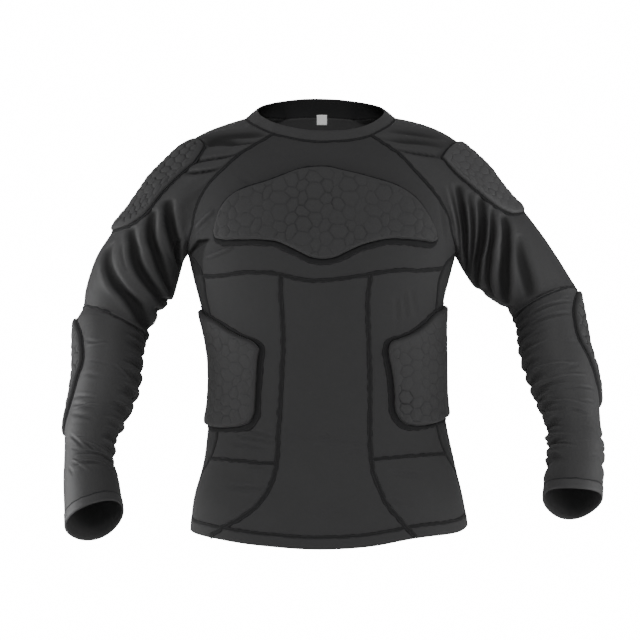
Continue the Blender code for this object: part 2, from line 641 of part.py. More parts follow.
def pad_solid(name, outline_rows, cells_row, seat_step, place, collection):
    """Padded piece: plain underside on the cloth, honeycomb cells raised on the outside."""
    height, width, border = cells_row
    foot = smooth_outline(outline_rows, OUTLINE_STEP)
    crown = inset(foot, PAD_CHAMFER)
    count = len(foot)

    # Outside: crown outline, cell corners in the grooves, cell middles on top
    cells = honeycomb(foot, width, border)
    spots, levels, edges, seen = list(crown), [height - PAD_LIP] * count, [], {}
    edges += [(i, (i + 1) % count) for i in range(count)]
    for centre, corners in cells:
        ring = []
        for corner in corners:
            key = (round(corner[0], 2), round(corner[1], 2))
            if key not in seen:
                seen[key] = len(spots)
                spots.append(corner)
                levels.append(height - PAD_GROOVE)
            ring.append(seen[key])
        edges += [(ring[k], ring[(k + 1) % 6]) for k in range(6)]
        spots.append(centre)
        levels.append(height)
    top, top_faces, origin = triangulate(spots, edges, crown)
    top_levels = np.array([levels[o[0]] for o in origin])
    crown_index = {o[0]: i for i, o in enumerate(origin) if o[0] < count}

    # Underside: foot outline and a plain lattice
    lattice = []
    room = inset(foot, 0.6 * seat_step)
    low, high = foot.min(axis=0), foot.max(axis=0)
    for i, x in enumerate(np.arange(low[0], high[0], seat_step * 0.9)):
        for y in np.arange(low[1] + (i % 2) * 0.5 * seat_step, high[1], seat_step):
            lattice.append((x, y))
    lattice = np.array(lattice)
    lattice = lattice[inside(lattice, room)]
    under_spots = list(foot) + list(lattice)
    under_edges = [(i, (i + 1) % count) for i in range(count)]
    under, under_faces, under_origin = triangulate(under_spots, under_edges, foot)
    foot_index = {o[0]: i for i, o in enumerate(under_origin) if o[0] < count}

    # Rim: foot, shoulder of the rim, crown
    shoulder_level = height - PAD_LIP - PAD_CHAMFER
    outer = place(top, top_levels)
    rim = place(foot, np.full(count, shoulder_level))
    seat = place(under, np.full(len(under), PAD_SEAT))
    rim_start, seat_start = len(outer), len(outer) + len(rim)
    faces = [tuple(int(i) for i in f) for f in top_faces]
    faces += [tuple(int(i) + seat_start for i in f[::-1]) for f in under_faces]
    for i in range(count):
        j = (i + 1) % count
        a, b = rim_start + i, rim_start + j
        faces.append((crown_index[j], crown_index[i], a, b))
        faces.append((b, a, seat_start + foot_index[i], seat_start + foot_index[j]))
    return make_object(name, np.vstack([outer, rim, seat]), faces, "pad_cover", collection)


def place_on_body(flat, level):
    """Points a distance around the body and a height, lifted off the cloth."""
    turn = turn_at_distance(flat[:, 0], flat[:, 1])
    return body(turn, flat[:, 1]) + np.asarray(level)[:, None] * body_normal(turn, flat[:, 1])


def sleeve_placer(sleeve, seat):
    """Placing function for a strip of sleeve: distance down the middle line, distance to the front."""
    start, middle, share = seat
    reaches = np.linspace(start, sleeve.last, 240)
    line = np.array([sleeve.point(middle, r) for r in reaches])
    run = np.concatenate([[0.0], np.cumsum(np.linalg.norm(np.diff(line, axis=0), axis=1))])
    ahead = np.array([sleeve.plain(middle + 20.0, r) for r in reaches])
    behind = np.array([sleeve.plain(middle - 20.0, r) for r in reaches])
    girth = np.linalg.norm(ahead - behind, axis=1) / math.radians(40.0) * 1.02

    def place(flat, level):
        points = []
        for (down, ahead), lift in zip(flat, level):
            far = down * share
            reach = float(np.interp(far, run, reaches))
            degrees = middle + math.degrees(ahead / float(np.interp(far, run, girth)))
            points.append(sleeve.point(degrees, reach) + lift * sleeve.normal(degrees, reach))
        return np.array(points)

    return place


def strip_outline(rows):
    """Closed outline from distances along and half widths."""
    return [(d, w) for d, w in rows] + [(d, -w) for d, w in reversed(rows)]


# Scene start

for item in list(bpy.data.objects):
    bpy.data.objects.remove(item, do_unlink=True)
shirt = bpy.data.collections.new(GARMENT)
bpy.context.scene.collection.children.link(shirt)

MATERIALS = {}
for look, (colour, roughness) in LOOKS.items():
    material = bpy.data.materials.new(look)
    material.use_nodes = True
    shader = material.node_tree.nodes["Principled BSDF"]
    shader.inputs["Base Color"].default_value = (*colour, 1.0)
    shader.inputs["Roughness"].default_value = roughness
    shader.inputs["Metallic"].default_value = 0.0
    MATERIALS[look] = material

sleeves = {side: Sleeve(side) for side in SIDES}
shared_normals = {side: sleeves[side].seam_normals() for side in SIDES}
under_chest, hip, hem = Level(UNDER_CHEST), Level(HIP), Level(HEM)
princess = {side: Upright(PRINCESS[side]) for side in SIDES}
side_front = {side: Upright(SIDE_FRONT, SIGN[side]) for side in SIDES}
side_back = {side: Upright(SIDE_BACK, SIGN[side]) for side in SIDES}

# Seam nodes that neighbouring panels share
raglan_front, raglan_back, armpit_front, armpit_back = {}, {}, {}, {}
front_line, back_line, princess_line = {}, {}, {}
chest_corner, hip_corner, hem_corner = {}, {}, {}
for side in SIDES:
    sleeve = sleeves[side]
    columns = sleeve.columns()
    raglan_front[side] = np.array([sleeve.seam_spot(c) for c in columns[RAGLAN_STEPS::-1]])
    first_back = RAGLAN_STEPS + UNDERARM_STEPS
    back_columns = columns[first_back:first_back + RAGLAN_STEPS + 1]
    raglan_back[side] = np.array([sleeve.seam_spot(c) for c in back_columns])
    armpit_front[side], armpit_back[side] = raglan_front[side][0], raglan_back[side][0]
    chest_corner[side] = crossing(side_front[side], under_chest, -225.0)
    hip_corner[side] = crossing(side_front[side], hip, -490.0)
    hem_corner[side] = crossing(side_front[side], hem, -590.0)
    top_part = up_line(side_front[side], chest_corner[side][1], armpit_front[side][1], YOKE_ROWS)
    top_part[-1] = armpit_front[side]
    front_line[side] = {
        "yoke": top_part,
        "waist": up_line(side_front[side], hip_corner[side][1], chest_corner[side][1], WAIST_ROWS),
        "hip": up_line(side_front[side], hem_corner[side][1], hip_corner[side][1], HIP_ROWS),
    }
    heights = np.concatenate([front_line[side]["hip"][:, 1], front_line[side]["waist"][1:, 1],
                              front_line[side]["yoke"][1:, 1]])
    back_hem = crossing(side_back[side], hem, -600.0)
    heights = np.interp(heights, [heights[0], heights[-1]], [back_hem[1], armpit_back[side][1]])
    back_line[side] = np.column_stack([side_back[side].turn(heights), heights])
    back_line[side][-1] = armpit_back[side]
    chest_node = crossing(princess[side], under_chest, -228.0)
    hip_node = crossing(princess[side], hip, -490.0)
    hem_node = crossing(princess[side], hem, -598.0)
    princess_line[side] = {
        "waist": up_line(princess[side], hip_node[1], chest_node[1], WAIST_ROWS),
        "hip": up_line(princess[side], hem_node[1], hip_node[1], HIP_ROWS),
    }


def panel(name, bottom, top, left, right, look, edge_normals=(), extra=None):
    """Body panel from its four seam lines; edge normals replace the body's along a raglan or neck."""
    spots = fill(bottom, top, left, right)
    points = body(spots[..., 0], spots[..., 1])
    normals = body_normal(spots[..., 0], spots[..., 1])
    for rows, column, directions in edge_normals:
        normals[rows, column] = directions
    return wall_solid(name, points, normals, look, shirt, extra=extra)


# Neck loop: front arc, left shoulder, back arc, right shoulder
neck_front = Level(NECK_FRONT)
front_arc = level_line(neck_front, raglan_front["right"][-1][0], raglan_front["left"][-1][0],
                       2 * SIDE_STEPS + CENTRE_STEPS)
front_arc[0], front_arc[-1] = raglan_front["right"][-1], raglan_front["left"][-1]
back_first, back_last = raglan_back["left"][-1], raglan_back["right"][-1]
back_turns = np.linspace(back_first[0], 360.0 + back_last[0], BACK_STEPS + 1)
share = np.linspace(0.0, 1.0, BACK_STEPS + 1)
back_heights = (back_first[1] + share * (back_last[1] - back_first[1])
                + 4.0 * share * (1.0 - share) * (NECK_BACK_HEIGHT - 0.5 * (back_first[1] + back_last[1])))
back_arc = np.column_stack([back_turns, back_heights])
left_arc = np.array([sleeves["left"].neck(s) for s in np.linspace(0.0, 1.0, NECK_SIDE_STEPS + 1)])
right_arc = np.array([sleeves["right"].neck(s) for s in np.linspace(1.0, 0.0, NECK_SIDE_STEPS + 1)])
neck_loop = np.vstack([body(front_arc[:, 0], front_arc[:, 1]), left_arc[1:],
                       body(back_arc[:, 0], back_arc[:, 1])[1:], right_arc[1:-1]])

# Collar rising from the neck loop
collar_track = Track(COLLAR)
centre = np.array([COLLAR_CENTRE[0], COLLAR_CENTRE[1], 0.0])
outward = unit((neck_loop - centre) * np.array([1.0, 1.0, 0.0]))
around_neck = np.degrees(np.arctan2(np.abs(neck_loop[:, 0] - centre[0]), -(neck_loop[:, 1] - centre[1])))
lean = collar_track(around_neck)
collar_top = neck_loop - lean[:, :1] * outward + lean[:, 1:] * np.array([0.0, 0.0, 1.0])
share = np.linspace(0.0, 1.0, COLLAR_ROWS + 1)[:, None, None]
collar_points = (1 - share) * neck_loop + share * collar_top + 1.2 * (share - share**2) * 4.0 * outward
collar_along = np.roll(collar_points, -1, axis=1) - np.roll(collar_points, 1, axis=1)
collar_up = np.gradient(collar_points, axis=0)
collar_normals = unit(np.cross(collar_along, collar_up))

# Shared directions along the neck: the collar's and the panel's or sleeve's averaged
count_front, count_back = len(front_arc), len(back_arc)
body_side = np.zeros_like(neck_loop)
body_side[:count_front] = body_normal(front_arc[:, 0], front_arc[:, 1])
left_start = count_front - 1
back_start = left_start + NECK_SIDE_STEPS
right_start = back_start + BACK_STEPS
body_side[back_start:right_start + 1] = body_normal(back_arc[:, 0], back_arc[:, 1])
for k in range(1, NECK_SIDE_STEPS):
    spread = NECK_ARC * (1.0 - 2.0 * k / NECK_SIDE_STEPS)
    body_side[left_start + k] = sleeves["left"].normal(spread, 0.0)
    body_side[right_start + k] = sleeves["right"].normal(-spread, 0.0)
neck_shared = unit(collar_normals[0] + body_side)

# The sleeves take the neck's directions along it, and the raglan corners are shared by three pieces
edge_front, edge_back, room_front, room_back = {}, {}, {}, {}
first_back = RAGLAN_STEPS + UNDERARM_STEPS
for side in SIDES:
    loop = shared_normals[side]
    corners = {"left": (left_start, back_start), "right": (0, right_start)}[side]
    for column, spot in zip((0, first_back + RAGLAN_STEPS), corners):
        neck_shared[spot] = unit(neck_shared[spot] + loop[column])
        loop[column] = neck_shared[spot]
    for k in range(1, NECK_SIDE_STEPS):
        spot = left_start + k if side == "left" else right_start + NECK_SIDE_STEPS - k
        loop[len(loop) - k] = neck_shared[spot]
    edge_front[side] = loop[RAGLAN_STEPS::-1]
    edge_back[side] = loop[first_back:first_back + RAGLAN_STEPS + 1]
    room = sleeves[side].clearance()
    room_front[side] = np.concatenate([np.zeros(YOKE_ROWS), room[RAGLAN_STEPS::-1]])
    back_rows_below = np.zeros(HIP_ROWS + WAIST_ROWS + YOKE_ROWS)
    room_back[side] = np.concatenate([back_rows_below, room[first_back:first_back + RAGLAN_STEPS + 1]])
collar_normals[0] = neck_shared
front_shared = neck_shared[:count_front]
back_shared = neck_shared[back_start:right_start + 1]
wall_solid("collar", collar_points, collar_normals, "collar_rib", shirt, closed=True)

# Front yoke
centre_right = princess_line["right"]["waist"][-1][0]
centre_left = princess_line["left"]["waist"][-1][0]
chest_line = join(level_line(under_chest, chest_corner["right"][0], centre_right, SIDE_STEPS),
                  level_line(under_chest, centre_right, centre_left, CENTRE_STEPS),
                  level_line(under_chest, centre_left, chest_corner["left"][0], SIDE_STEPS))
upper = slice(YOKE_ROWS, None)
panel("front_yoke", chest_line, front_arc, join(front_line["right"]["yoke"], raglan_front["right"]),
      join(front_line["left"]["yoke"], raglan_front["left"]), "knit",
      [(upper, 0, edge_front["right"]), (upper, -1, edge_front["left"]), (-1, slice(None), front_shared)],
      {"start": room_front["right"], "end": room_front["left"]})

# Front centre, from the under-chest seam to the hem
panel("front_centre",
      level_line(hem, princess_line["right"]["hip"][0][0], princess_line["left"]["hip"][0][0], CENTRE_STEPS),
      chest_line[SIDE_STEPS:SIDE_STEPS + CENTRE_STEPS + 1],
      join(princess_line["right"]["hip"], princess_line["right"]["waist"]),
      join(princess_line["left"]["hip"], princess_line["left"]["waist"]), "knit")

# Front sides, hips and side strips
for side in SIDES:
    outer_edge, inner_edge = front_line[side], princess_line[side]
    waist_top = level_line(under_chest, outer_edge["waist"][-1][0], inner_edge["waist"][-1][0], SIDE_STEPS)
    hip_top = level_line(hip, outer_edge["hip"][-1][0], inner_edge["hip"][-1][0], SIDE_STEPS)
    hip_foot = level_line(hem, outer_edge["hip"][0][0], inner_edge["hip"][0][0], SIDE_STEPS)
    edges = {"waist": (hip_top, waist_top), "hip": (hip_foot, hip_top)}
    for part, name in (("waist", "front_side"), ("hip", "front_hip")):
        foot, top = edges[part]
        if side == "right":
            panel(f"{name}_{side}", foot, top, outer_edge[part], inner_edge[part], "knit")
        else:
            panel(f"{name}_{side}", foot[::-1], top[::-1], inner_edge[part], outer_edge[part], "knit")
    fore = join(outer_edge["hip"], outer_edge["waist"], outer_edge["yoke"])
    aft = back_line[side]
    strip_foot = level_line(hem, fore[0][0], aft[0][0], STRIP_STEPS)
    ratio = np.linspace(0.0, 1.0, STRIP_STEPS + 1)[:, None]
    strip_top = fore[-1] + ratio * (aft[-1] - fore[-1])
    loop_under = shared_normals[side][RAGLAN_STEPS:RAGLAN_STEPS + UNDERARM_STEPS + 1]
    under_ratio = np.linspace(0.0, 1.0, UNDERARM_STEPS + 1)
    top_normals = np.column_stack([np.interp(ratio[:, 0], under_ratio, loop_under[:, k]) for k in range(3)])
    if side == "left":
        panel(f"side_panel_{side}", strip_foot, strip_top, fore, aft, "side_knit",
              [(-1, slice(None), unit(top_normals))], {"top": ARMPIT_CLEAR})
    else:
        panel(f"side_panel_{side}", strip_foot[::-1], strip_top[::-1], aft, fore, "side_knit",
              [(-1, slice(None), unit(top_normals)[::-1])], {"top": ARMPIT_CLEAR})

# Back
back_left, back_right = back_line["left"], back_line["right"] + np.array([360.0, 0.0])
raglan_right = raglan_back["right"] + np.array([360.0, 0.0])
back_foot_turns = np.linspace(back_left[0][0], back_right[0][0], BACK_STEPS + 1)
wrapped = (back_foot_turns + 180.0) % 360.0 - 180.0
back_foot = np.column_stack([back_foot_turns, hem.height(wrapped)])
back_rows = slice(len(back_left) - 1, None)
panel("back", back_foot, back_arc, join(back_left, raglan_back["left"]),
      join(back_right, raglan_right), "knit",
      [(back_rows, 0, edge_back["left"]), (back_rows, -1, edge_back["right"]),
       (-1, slice(None), back_shared)],
      {"start": room_back["left"], "end": room_back["right"]})

# Sleeves
for side in SIDES:
    sleeve = sleeves[side]
    elbow = 1.0 + ELBOW_RING
    cap = np.linspace(0.0, 1.0, CAP_ROWS + 1)
    arm = np.linspace(1.0, elbow, UPPER_ARM_ROWS + 1)
    points, normals = sleeve.grid(np.concatenate([cap, arm[1:]]))
    normals[0] = shared_normals[side]
    wall_solid(f"sleeve_upper_{side}", points, normals, "sleeve_knit", shirt, closed=True,
               extra={"foot": sleeve.clearance()})
    points, normals = sleeve.grid(np.linspace(elbow, sleeve.last, FOREARM_ROWS + 1))
    wall_solid(f"sleeve_lower_{side}", points, normals, "sleeve_knit", shirt, closed=True)

# Pads
pad_solid("chest_pad", CHEST_PAD, CHEST_CELLS, SEAT_STEP["chest"], place_on_body, shirt)
for side in SIDES:
    sleeve = sleeves[side]
    pad_solid(f"rib_pad_{side}", RIB_PAD[side], RIB_CELLS, SEAT_STEP["rib"], place_on_body, shirt)
    pad_solid(f"shoulder_pad_{side}", SHOULDER_PAD[side], SHOULDER_CELLS, SEAT_STEP["shoulder"],
              sleeve_placer(sleeve, SHOULDER_SEAT[side]), shirt)
    pad_solid(f"elbow_pad_{side}", strip_outline(ELBOW_PAD), ELBOW_CELLS, SEAT_STEP["elbow"],
              sleeve_placer(sleeve, ELBOW_SEAT[side]), shirt)

# Label hanging inside the back of the neck, from the collar down over the back
label_x, label_width, label_foot, label_top, label_thick = LABEL
mid_back = (back_start + right_start) // 2
collar_share = (label_top - neck_loop[mid_back][2]) / (collar_top[mid_back][2] - neck_loop[mid_back][2])
top_y = neck_loop[mid_back][1] + collar_share * (collar_top[mid_back][1] - neck_loop[mid_back][1])
foot_y = float(body(180.0, label_foot)[1])
clear = WALL + LABEL_CLEAR
corners = []
for x in (label_x - 0.5 * label_width, label_x + 0.5 * label_width):
    for y, z in ((foot_y, label_foot), (top_y, label_top)):
        corners.append((x, y - clear, z))
        corners.append((x, y - clear - label_thick, z))
label_faces = [(0, 1, 3, 2), (4, 6, 7, 5), (0, 4, 5, 1), (2, 3, 7, 6), (0, 2, 6, 4), (1, 5, 7, 3)]
make_object("neck_label", corners, label_faces, "label_tape", shirt)
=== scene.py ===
"""Padded armour shirt: cloth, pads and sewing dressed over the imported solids.

Lengths are in millimetres and become metres when a mesh is made. X runs to the wearer's left, the front
faces -Y and Z is up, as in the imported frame. Right and left are the wearer's.
"""

import logging
import math
from dataclasses import dataclass, replace
from enum import Enum
from typing import Iterable, Sequence

import bpy
import numpy as np
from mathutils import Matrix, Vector
from mathutils.geometry import delaunay_2d_cdt


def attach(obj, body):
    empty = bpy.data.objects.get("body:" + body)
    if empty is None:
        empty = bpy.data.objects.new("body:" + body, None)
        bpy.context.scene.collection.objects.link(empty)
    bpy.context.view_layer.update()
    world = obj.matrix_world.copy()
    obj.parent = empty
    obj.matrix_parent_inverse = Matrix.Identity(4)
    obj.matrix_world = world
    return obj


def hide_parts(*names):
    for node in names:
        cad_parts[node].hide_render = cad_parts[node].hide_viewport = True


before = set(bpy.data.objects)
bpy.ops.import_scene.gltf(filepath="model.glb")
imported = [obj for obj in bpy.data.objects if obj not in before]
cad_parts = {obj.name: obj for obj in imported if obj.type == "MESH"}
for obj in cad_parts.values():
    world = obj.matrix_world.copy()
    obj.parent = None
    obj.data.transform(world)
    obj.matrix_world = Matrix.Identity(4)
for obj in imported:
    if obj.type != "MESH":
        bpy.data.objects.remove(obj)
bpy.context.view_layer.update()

LOG = logging.getLogger("padded_armour_shirt")
METRE = 0.001
FAR = 1e9
TINY = 1e-12
Array = np.ndarray
Rows = Sequence[tuple[float, ...]]
Place = tuple[float, float]
Spot = tuple[float, float, float]
Material = bpy.types.Material
Piece = bpy.types.Object
Socket = bpy.types.NodeSocket
Tree = bpy.types.NodeTree


class Side(Enum):
    """Side of the shirt, as the wearer has it."""

    RIGHT = "right"
    LEFT = "left"

    @property
    def sign(self) -> float:
        """Minus one on the right, plus one on the left."""
        return -1.0 if self is Side.RIGHT else 1.0


# Body sections: height, centre x, half width, depth to the front, depth to the back
TORSO = (
    (30, -5, 186, 26, 66), (8, -5, 190, 46, 76), (-12, -5, 194, 64, 84), (-41, -5, 202, 88, 95),
    (-61, -5, 209, 98, 102), (-85, -5, 214, 105, 108), (-115, -4.5, 212, 111, 113),
    (-154, -4.5, 204, 117, 116), (-195, -4.5, 194.5, 118, 116), (-230, -5, 186, 115, 112),
    (-264, -4.8, 177.2, 110, 107), (-293, -2.1, 171.9, 106, 103), (-322, 1, 168.5, 102.5, 99.5),
    (-351, 3.3, 166.8, 100.5, 97.5), (-380, 3.8, 166.4, 100, 97), (-409, 3.7, 167.7, 102, 99),
    (-438, 3.4, 171.6, 105, 103), (-496, 5.8, 181.3, 112, 113), (-554, 5, 195, 117, 120),
    (-583, 5.8, 198.7, 118, 122), (-630, 6.5, 200, 118.5, 123),
)

# Seams around the body: degrees from the front (plus to the wearer's left), height
NECK_FRONT = (
    (-19.7, -30), (-12.7, -36), (-4, -41), (6, -41), (13.8, -38), (20.4, -32),
)
UNDER_CHEST = (
    (-92, -231), (-60, -231), (-47.6, -231), (-31.2, -226), (-18.4, -229), (-8, -237), (3.6, -237),
    (17.5, -231), (29.7, -224), (46.9, -223), (61.7, -219), (92, -217),
)
HIP = (
    (-92, -491), (-42.6, -491), (-23, -494), (18, -488), (36.8, -484), (92, -486),
)
HEM = (
    (-180, -606), (-120, -602), (-90, -596), (-75, -597), (-51.4, -601), (-29.6, -608), (-2, -613),
    (16.5, -609), (32.6, -600), (62, -594.5), (78, -590), (90, -589), (120, -600), (180, -606),
)

# Seams down the body: height, degrees from the front, for the wearer's right (minus) and left
RAGLAN_FRONT = {
    Side.RIGHT: (
        (-195, -80), (-173, -65.4), (-138, -55.4), (-104, -46), (-81, -38.6), (-58, -31.6), (-30, -19.7),
    ),
    Side.LEFT: (
        (-197, 80), (-182, 68), (-147, 56.1), (-111, 44.3), (-82, 35.8), (-58, 29.8), (-32, 20.4),
    ),
}
RAGLAN_BACK = {
    Side.RIGHT: (
        (-195, -100), (-155, -119), (-120, -130), (-85, -139), (-50, -147), (-20, -156), (6, -164),
    ),
    Side.LEFT: (
        (-197, 100), (-155, 119), (-120, 130), (-85, 139), (-50, 147), (-20, 156), (5, 166),
    ),
}
PRINCESS = {
    Side.RIGHT: (
        (-620, -70), (-597, -52.1), (-584, -44.7), (-575, -39), (-558, -31.3), (-539, -26.8), (-518, -24.3),
        (-491, -23.3), (-451, -22.8), (-371, -22.2), (-291, -19.1), (-200, -17),
    ),
    Side.LEFT: (
        (-620, 43), (-597, 35), (-585, 31.7), (-569, 28), (-550, 23.7), (-528, 21.2), (-504, 19),
        (-478, 18.8), (-425, 20), (-344, 20.2), (-226, 21), (-200, 21),
    ),
}
SIDE_FRONT = (
    (-620, 84), (-560, 81), (-508, 74), (-492, 66), (-470, 61), (-440, 59.5), (-320, 63), (-264, 63),
    (-225, 61), (-208, 66), (-194, 80),
)
SIDE_BACK = (
    (-620, 118), (-440, 120), (-264, 120), (-225, 119), (-208, 114), (-194, 100),
)
NECK_BACK_HEIGHT = 8.0

# Foot of the collar across each shoulder: x, y, height, between the front and the back raglan seam
NECK_SIDE = {
    Side.RIGHT: (
        (-103, -42, -14), (-114, -2, -1), (-97, 42, 6),
    ),
    Side.LEFT: (
        (93, -42, -14), (101, -2, -0.5), (85, 42, 4),
    ),
}

# Collar band: degrees around the neck from the front, how far its top lies inward and upward
COLLAR = (
    (0, 7, 16), (45, 7, 14.5), (80, 2, 13.5), (100, 1.5, 15), (125, 3, 22), (150, 4.5, 26.5), (180, 5, 27),
)
COLLAR_CENTRE = (-5.0, -4.0)

# Sleeve rings, shoulder to cuff: outer x and height, inner x and height, centre y, half depth
SLEEVE_RINGS = {
    Side.RIGHT: (
        (-309.7, -166.7, -206, -208.8, 1, 57), (-329.5, -197.1, -213.4, -236.3, 3, 57),
        (-340.5, -224.7, -222.1, -262.4, 4, 57), (-347.6, -250.8, -240.2, -282.7, 3, 53),
        (-350.7, -275.5, -257.9, -319, -2, 50), (-359.3, -295.8, -260.2, -329, -9, 49),
        (-359.4, -328.9, -262.2, -344.8, -20, 49), (-358, -360.3, -262.6, -370.4, -32, 48),
        (-359.9, -392.8, -266.4, -395.7, -46, 46), (-364, -420.8, -277.3, -425.1, -59, 43),
        (-368, -448.5, -290.9, -449.9, -73, 40), (-367.4, -471.9, -296.2, -474.7, -84, 38),
        (-366.4, -496.4, -297, -494.9, -97, 38), (-365.3, -523.2, -288.5, -516.2, -112, 40),
        (-358.3, -579.8, -277.6, -560.5, -146, 46),
    ),
    Side.LEFT: (
        (295.9, -144.2, 200.2, -220.4, 1, 57), (316.4, -171, 216.3, -243.6, 3, 56),
        (338.3, -203.6, 241, -262.4, 4, 55), (355.6, -231.9, 264.2, -277.7, 3, 52),
        (365.3, -249.4, 274, -294.3, -1, 50), (368.6, -271.2, 277.5, -310.2, -9, 49),
        (373, -301.5, 278.7, -330.3, -20, 48), (377.2, -333.1, 281.1, -353.2, -32, 47),
        (384.2, -361.5, 288.5, -378.6, -44, 46), (388.3, -391.1, 297.3, -403.9, -56, 44),
        (388.7, -419, 305.8, -423.2, -69, 41), (389.1, -445.2, 312.9, -448, -82, 39),
        (391.4, -472.6, 312.8, -469.8, -96, 39), (389.6, -496.9, 308.5, -492.7, -109, 40),
        (382.6, -549.3, 300.3, -543.8, -140, 46),
    ),
}
ELBOW_RING = 4

# Where the sleeve columns sit on a ring: half the neck arc and half the underarm arc, in degrees
NECK_ARC = 28.0
UNDERARM_ARC = 12.0
SHOULDER_FALL = {Side.RIGHT: 0.29, Side.LEFT: 0.16}
CAP_PULL = (1.25, 0.70)
# How far the shoulder cloth stands up under the pad's upper end and lies flat under its lower end
SHOULDER_SWING = {Side.RIGHT: (4.4, 5.2), Side.LEFT: (2.6, 5.0)}
SWING_WAY = (0.74, 0.0, 0.67)
CAP_LEAVE = (1.0, 0.1)

# Body pads: distance around the body from the front centre, height
CHEST_PAD = (
    (10, -79), (-12, -79), (-32, -82), (-56, -91), (-80, -99.5), (-103, -106), (-124, -115), (-138, -127),
    (-147, -140), (-153, -157), (-156, -171), (-153, -179), (-144, -182), (-118, -182.5), (-84, -183),
    (-66, -185), (-50, -191), (-33, -199.5), (-17, -207), (2, -210), (20, -207), (36, -199.5), (55, -191),
    (75, -185), (95, -181.5), (122, -182), (146, -184), (161, -185), (168, -180), (166, -170), (160, -157),
    (149, -140), (134, -123), (118, -111), (99, -102), (75, -95), (49, -88), (25, -82.5),
)
RIB_PAD = {
    Side.RIGHT: (
        (-197, -283), (-157, -296.5), (-137, -308), (-119, -316), (-102, -323), (-94, -332), (-97, -348),
        (-100, -380), (-101, -404), (-104, -429), (-110, -439), (-122, -444), (-146, -447), (-183, -447),
        (-235, -441), (-272, -428), (-284, -404), (-285, -340), (-274, -300), (-250, -279), (-224, -276),
    ),
    Side.LEFT: (
        (200, -277), (173, -283), (148, -298), (127, -310), (105, -318), (91, -323), (85, -334), (86, -350),
        (90, -374), (92, -396), (95, -425), (106, -439), (130, -444), (154, -442), (190, -436), (240, -428),
        (272, -412), (284, -386), (283, -325), (268, -288), (240, -271),
    ),
}
# Shoulder pads: distance down the middle line, distance to the front
SHOULDER_PAD = {
    Side.RIGHT: (
        (13, -12), (17, 3), (29, 13), (48, 23), (70, 35), (95, 47), (125, 54), (158, 44), (184, 28),
        (196, 12), (201, -6), (201, -18), (196, -36), (184, -52), (158, -68), (125, -78), (95, -71),
        (70, -59), (48, -47), (28, -37), (15, -26),
    ),
    Side.LEFT: (
        (36, -16), (40, 2), (46, 18), (55, 29), (72, 37), (98, 41), (130, 36), (156, 28), (174, 19),
        (185, 2), (186, -18), (181, -34), (171, -50), (156, -63), (130, -74), (98, -79), (72, -71),
        (55, -60), (44, -48), (38, -32),
    ),
}
# Elbow pads: distance along from the upper end, half width
ELBOW_PAD = (
    (0, 20), (14, 36), (36, 51), (60, 55), (80, 54), (104, 45), (132, 36), (156, 28), (174, 11),
)

# Sleeve folds: degrees and reach at the start, middle and end, half width, depth
UPPER_FOLDS = {
    Side.RIGHT: (
        (62, 0.5, 105, 0.54, 170, 1.3, 6.2, 9), (130, 0.42, 143, 0.7, 160, 1.15, 3.2, 3.5),
        (60, 0.64, 102, 0.9, 164, 2.7, 6.6, 9.5), (54, 0.86, 94, 1.8, 168, 3.6, 7, 9.5),
        (34, 1.4, 70, 2.95, 166, 4.85, 8.4, 9), (57, 1.15, 70, 1.7, 83, 2.25, 2, 1.6),
        (150, 3.1, 178, 3.2, 206, 3.25, 4, 4.5), (150, 3.85, 178, 3.95, 206, 4, 4, 4.5),
        (146, 4.5, 178, 4.62, 206, 4.66, 4, 4.5), (26, 0.01, 20, 0.1, 11, 0.24, 3.6, 4.6),
        (38, 0.02, 28, 0.15, 18, 0.31, 3.4, 5), (56, 0.03, 42, 0.2, 24, 0.37, 3.4, 5),
        (72, 0.06, 54, 0.26, 34, 0.41, 4.2, 4.8), (60, 4.96, 125, 4.9, 196, 4.92, 4, -3),
    ),
    Side.LEFT: (
        (66, 0.3, 117, 0.28, 150, 0.36, 3, 3.6), (58, 0.38, 120, 0.44, 166, 1.1, 4.6, 9),
        (60, 0.46, 110, 0.58, 160, 1.3, 3.8, 6), (56, 0.57, 118, 0.82, 168, 2.1, 6.2, 10),
        (58, 0.68, 101, 0.9, 160, 2.9, 4.4, 7), (56, 0.8, 89, 1.35, 158, 3.7, 6.8, 9.6),
        (64, 1.1, 81, 2.25, 116, 4.3, 9, 4.6), (150, 2.3, 178, 2.4, 206, 2.45, 6, 2.5),
        (150, 3.8, 178, 3.9, 206, 3.95, 6, 2.5), (20, 0.01, 17, 0.12, 12, 0.27, 2.8, 3.4),
        (31, 0.02, 24, 0.16, 18, 0.31, 2.6, 3.8), (46, 0.03, 37, 0.2, 25, 0.35, 2.8, 4.2),
        (40, 4.96, 110, 4.9, 190, 4.92, 4, -3),
    ),
}
BACK_FOLDS = (
    (255, 0.6, 225, 0.8, 192, 1.6, 7, 6.5), (262, 0.95, 235, 1.8, 200, 3, 8, 6.5),
    (266, 1.8, 240, 3, 202, 4.6, 8, 5.5), (-30, 0.05, -24, 0.15, -20, 0.3, 5, 2.6),
)

